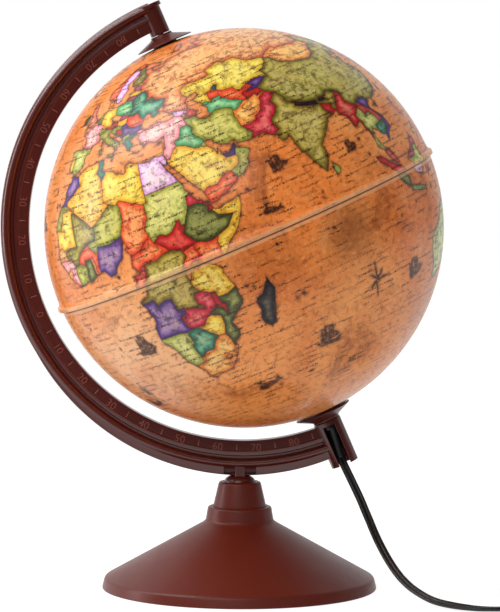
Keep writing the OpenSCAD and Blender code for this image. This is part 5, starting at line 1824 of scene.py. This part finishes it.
@dataclass
class Ball:
    """The two printed shells of the ball and the rim between them."""

    finishes: Finishes
    axis: Axis
    chart: Chart
    wall: float = 1.6
    lip_out: float = 2.18
    lip_low: float = 2.8
    lip_flare: float = 4.6
    lip_round: float = 0.3
    tongue_up: float = 3.0
    fit: float = 0.2
    north_hole: float = 8.2
    south_hole: float = 16.2
    grain: float = 1.45
    first_row: float = 1.5
    last_row: float = 0.8
    row_pitch: float = 0.87
    row_shift: float = 7.13
    rim_steps: int = 480
    rim_heights: tuple = (4.6, 3.2, 2.0, 1.1, 0.5, 0.15, 0.0, -0.35)
    inner_steps: int = 60
    over_equator: float = 8.0
    coast_step: float = 1.2
    ornament_step: float = 4.0
    sample: float = 0.25
    near: float = 2.0
    open_sea: Flat = (75.0, 3.0)
    sea: Shown = ((0.5, 0.25, 0.1, 1.0), 0.0, 0.0)

    def _flat(self, lon: float, lat: float, side: int) -> Vector:
        """A place on one hemisphere's flat sheet, the pole in its middle."""
        return polar(radians(lon - MERIDIAN - 90), BALL_R * radians(90 - side * lat))

    def _lifted(self, spot: Vector, side: int) -> Vector:
        """The place on the shell of a spot on the flat sheet.

        Args:
            spot: The spot.
            side: 1 for the north, -1 for the south.

        Returns:
            The place, the ball's centre at the origin.
        """
        reach = spot.length
        height = side * BALL_R * cos(reach / BALL_R)
        wide = BALL_R * sin(reach / BALL_R)
        if side > 0 and height < self.lip_flare:
            out = 1 - sqrt(max(0.0, 1 - (1 - max(height, 0.0) / self.lip_flare) ** 2))
            wide = max(wide, BALL_R + self.lip_out * out)
        return Vector((spot.x / reach * wide, spot.y / reach * wide, height))

    def _polyline(self, line: list[Flat], side: int, step: float) -> list[Vector]:
        """A drawn line on the sheet, in short pieces.

        Args:
            line: The line, in degrees.
            side: 1 for the north, -1 for the south.
            step: Longest piece, in degrees.

        Returns:
            Its spots.
        """
        spots = []
        for (lon, lat), (to_lon, to_lat) in zip(line, line[1:]):
            east, north = to_lon - lon, to_lat - lat
            cuts = max(1, ceil(hypot(east, north) / step))
            spots += [self._flat(lon + east * i / cuts, lat + north * i / cuts, side) for i in range(cuts)]
        return spots + [self._flat(*line[-1], side)]

    def _sheet(self, side: int, low: float, high: float) -> tuple[list[Vector], list[list[int]], set[Edge]]:
        """Cuts one hemisphere's sheet along every drawn line.

        Args:
            side: 1 for the north, -1 for the south.
            low: Radius of the polar hole on the sheet.
            high: Radius of the sheet.

        Returns:
            The sheet's spots, its triangles, and those of their edges that lie on a drawn line.
        """
        spots: list[Vector] = []
        edges: list[Edge] = []

        def draw(line: list[Vector]) -> None:
            """Adds a line to the sheet's outlines."""
            start = len(spots)
            spots.extend(line)
            edges.extend((start + i, start + i + 1) for i in range(len(line) - 1))

        chart = self.chart
        for lines, step in ((chart.outlines(), self.coast_step), (chart.ornaments(), self.ornament_step)):
            for line in lines:
                if any(side * lat > -self.over_equator for _, lat in line):
                    draw(self._polyline(line, side, step))
        heights = self.rim_heights if side > 0 else ()
        for reach in (low, high, *(BALL_R * acos(height / BALL_R) for height in heights)):
            ring = [polar(2 * pi * i / self.rim_steps) * reach for i in range(self.rim_steps)]
            draw(ring + ring[:1])
        reach = low + self.grain * self.first_row
        while reach < high - self.grain * self.last_row:
            count = max(24, round(2 * pi * BALL_R * sin(reach / BALL_R) / self.grain))
            shift = (reach * self.row_shift) % 1.0
            spots += [polar(2 * pi * (i + shift) / count, reach) for i in range(count)]
            reach += self.grain * self.row_pitch
        placed, lines, faces, _, sources, _ = delaunay_2d_cdt(spots, edges, [], 0, 1e-3, True)
        kept = [face for face in faces if low < self._middle(placed, face).length < high]
        fences = {tuple(sorted(line)) for line, source in zip(lines, sources) if source}
        return placed, kept, {fence for fence in fences if self._is_line(placed, fence)}

    @staticmethod
    def _is_line(placed: list[Vector], edge: Edge) -> bool:
        """Whether a fence is a drawn line and not one of the rings of the rim."""
        first, second = (placed[corner].length for corner in edge)
        return abs(first - second) >= 0.01 or first <= BALL_R * (pi / 2 - 0.04)

    @staticmethod
    def _middle(placed: list[Vector], face: list[int]) -> Vector:
        """The middle of a triangle."""
        return (placed[face[0]] + placed[face[1]] + placed[face[2]]) / 3

    @staticmethod
    def _edges(face: list[int]) -> list[Edge]:
        """The edges of a triangle, each from its lower corner number to its higher."""
        return [tuple(sorted((face[i], face[(i + 1) % 3]))) for i in range(3)]

    def _groups(self, faces: list[list[int]], sides: dict[Edge, list[int]], fences: set[Edge]) -> list[int]:
        """Numbers the triangles, those that no fence parts alike.

        Args:
            faces: The triangles.
            sides: The triangles on both sides of each edge.
            fences: Edges that no group crosses.

        Returns:
            A group number for each triangle.
        """
        group = [-1] * len(faces)
        total = 0
        for start in range(len(faces)):
            if group[start] >= 0:
                continue
            group[start] = total
            open_faces = [start]
            while open_faces:
                ways = [edge for edge in self._edges(faces[open_faces.pop()]) if edge not in fences]
                for other in (number for edge in ways for number in sides[edge] if group[number] < 0):
                    group[other] = total
                    open_faces.append(other)
            total += 1
        return group

    def _regions(self, side: int, placed: list[Vector], faces: list[list[int]],
                 fences: set[Edge]) -> tuple[list[Shown], list[Edge]]:
        """What every triangle shows, and the edges where that changes.

        Args:
            side: 1 for the north, -1 for the south.
            placed: The sheet's spots.
            faces: Its triangles.
            fences: Edges on a drawn line.

        Returns:
            The triangles' looks, and the border edges.
        """
        sides: dict[Edge, list[int]] = {}
        for number, face in enumerate(faces):
            for edge in self._edges(face):
                sides.setdefault(edge, []).append(number)
        group = self._groups(faces, sides, fences)
        tree = finder([self._middle(placed, face) for face in faces])
        shown = [self.sea] * (max(group) + 1)
        places = []
        for line in self.chart.ornaments():
            spots = [self._flat(*spot, side) for spot in line[:-1]]
            places.append((sum(spots, Vector((0.0, 0.0))) / len(spots), (INK, 0.0, 1.0)))
        for lon, lat, colour in self.chart.seeds():
            places.append((self._flat(lon, lat, side), (colour, 1.0, 0.0)))
        for spot, look in places:
            _, number, far = tree.find(spot.to_3d())
            if far < self.near:
                shown[group[number]] = look
        lon, lat = self.open_sea
        shown[group[tree.find(self._flat(lon, side * lat, side).to_3d())[1]]] = self.sea
        looks = [shown[number] for number in group]
        borders = [edge for edge, (one, *other) in sides.items() if other and looks[one] != looks[other[0]]]
        return looks, borders

    def _printed(self, side: int, low: float, high: float) -> tuple[Mesh, list, list]:
        """The outside of one shell with its print, and its two open rims.

        Args:
            side: 1 for the north, -1 for the south.
            low: Radius of the polar hole on the sheet.
            high: Radius of the sheet.

        Returns:
            The mesh, and the angles and vertices of its rims.
        """
        placed, faces, fences = self._sheet(side, low, high)
        looks, borders = self._regions(side, placed, faces, fences)
        samples = []
        for first, second in borders:
            a, b = placed[first], placed[second]
            pieces = max(1, ceil((b - a).length / self.sample))
            samples += [a.lerp(b, (i + 0.5) / pieces) for i in range(pieces)] + [a, b]
        line = finder(samples)
        mesh = bmesh.new()
        tint = mesh.loops.layers.float_color.new("region")
        land = mesh.loops.layers.float.new("is_land")
        inked = mesh.loops.layers.float.new("inked")
        distance = mesh.verts.layers.float.new("edge_mm")
        sheet = mesh.loops.layers.uv.new("sheet")
        on_line = {corner for edge in borders for corner in edge}
        made = {}
        for corner in sorted({corner for face in faces for corner in face}):
            made[corner] = mesh.verts.new(self._lifted(placed[corner], side))
            made[corner][distance] = 0.0 if corner in on_line else line.find(placed[corner].to_3d())[2]
        for face, look in zip(faces, looks):
            for loop in mesh.faces.new([made[corner] for corner in face]).loops:
                loop[tint], loop[land], loop[inked] = look
                loop[sheet].uv = self._unrolled(loop.vert.co)
        rims = ([(atan2(placed[corner].y, placed[corner].x), vert) for corner, vert in made.items()
                 if abs(placed[corner].length - reach) < 0.004] for reach in (low, high))
        log.info("sheet %d: %d triangles, %d border edges", side, len(faces), len(borders))
        return mesh, *rims

    @staticmethod
    def _unrolled(spot: Vector) -> Flat:
        """A spot's metres east of the front and north of the equator."""
        turn = atan2(spot.x, -spot.y) if abs(spot.x) > 1e-6 or spot.y < 0 else pi
        return turn * hypot(spot.x, spot.y) * MM, asin(spot.z / spot.length) * BALL_R * MM

    def _inside(self, start: float, hole: float, side: int) -> list[Flat]:
        """Section of a shell's inner face from a height to the polar hole.

        Args:
            start: The height that it starts at.
            hole: Radius of the polar hole.
            side: 1 for the north, -1 for the south.

        Returns:
            Rows of radius and height.
        """
        inner = BALL_R - self.wall
        first, last = asin(start / inner), asin(side * sqrt(inner ** 2 - hole ** 2) / inner)
        angles = [first + (last - first) * step / self.inner_steps for step in range(self.inner_steps + 1)]
        return [(inner * cos(angle), inner * sin(angle)) for angle in angles]

    def _north_inside(self) -> list[Flat]:
        """Section of the upper shell from under the lip to the polar hole."""
        lip, low = BALL_R + self.lip_out, -self.lip_low
        socket, top = BALL_R - self.wall / 2 + self.fit, self.tongue_up + self.fit
        return [(lip - 0.1, low + 0.09), (lip - self.lip_round, low), (socket, low), (socket, top),
                *self._inside(top, self.north_hole, 1)]

    def _south_inside(self) -> list[Flat]:
        """Section of the lower shell from its shoulder over the tongue to the polar hole."""
        shoulder, tongue = -self.lip_low - self.fit, BALL_R - self.wall / 2
        return [(tongue, shoulder), (tongue, self.tongue_up), (tongue - self.wall, self.tongue_up),
                (tongue - self.wall, shoulder), *self._inside(shoulder, self.south_hole, -1)]

    @staticmethod
    def _zip(mesh: Mesh, first: list, second: list, index: int) -> None:
        """Closes the gap between two rings of angles and vertices.

        Args:
            mesh: The mesh.
            first: One ring.
            second: The other ring.
            index: Material number of the new faces.
        """
        here, steps = [], []
        for which, ring in enumerate((first, second)):
            (start, vert), *others = sorted(ring, key=lambda row: row[0])
            here.append(vert)
            steps += [(angle, which, after) for angle, after in (*others, (start + 2 * pi, vert))]
        for _, which, after in sorted(steps, key=lambda step: step[:2]):
            mesh.faces.new((here[1], here[0], after)).material_index = index
            here[which] = after

    def _shell(self, name: str, side: int) -> Object:
        """One closed shell: its printed outside and its plain inside.

        Args:
            name: The piece's name.
            side: 1 for the north, -1 for the south.

        Returns:
            The shell.
        """
        north = side > 0
        hole = self.north_hole if north else self.south_hole
        edge = -self.lip_low + (self.lip_round if north else -self.fit)
        low, high = BALL_R * asin(hole / BALL_R), BALL_R * acos(side * edge / BALL_R)
        mesh, hole_rim, equator_rim = self._printed(side, low, high)
        angles = [2 * pi * i / self.rim_steps for i in range(self.rim_steps)]
        rings = [[((a + pi) % (2 * pi) - pi, mesh.verts.new((r * cos(a), r * sin(a), z)))
                  for a in angles] for r, z in (self._north_inside() if north else self._south_inside())]
        for before, after in zip(rings, rings[1:]):
            for i in range(self.rim_steps):
                k = (i + 1) % self.rim_steps
                mesh.faces.new((before[i][1], before[k][1], after[k][1], after[i][1])).material_index = 1
        self._zip(mesh, equator_rim, rings[0], 0 if north else 1)
        self._zip(mesh, hole_rim, rings[-1], 1)
        shell = solid(name, mesh, self.finishes.by_slot["map_shell"], self.axis.up())
        shell.data.materials.append(self.finishes.inside)
        return shell

    def build(self) -> None:
        """Makes both shells."""
        for name, side, node in (("shell_north", 1, "north_shell"), ("shell_south", -1, "south_shell")):
            dress(self._shell(name, side), Body.GLOBE, "map_shell", node)


def main() -> None:
    """Builds the studio and every piece, from the cord up to the ball."""
    axis = Axis()
    finishes = Finishes(axis)
    Studio().build()
    rows = BarRow()
    copies = FromFrame(finishes)
    copies.build()
    on_cord = OnTheCord(finishes, copies, rows)
    on_cord.build()
    Cord(finishes).build(on_cord.on_lead, on_cord.on_end)
    Foot(finishes).build()
    Arm(finishes, axis, rows).build()
    PoleCaps(finishes, axis).build()
    Ball(finishes, axis, Chart()).build()


if __name__ == "__main__":
    main()
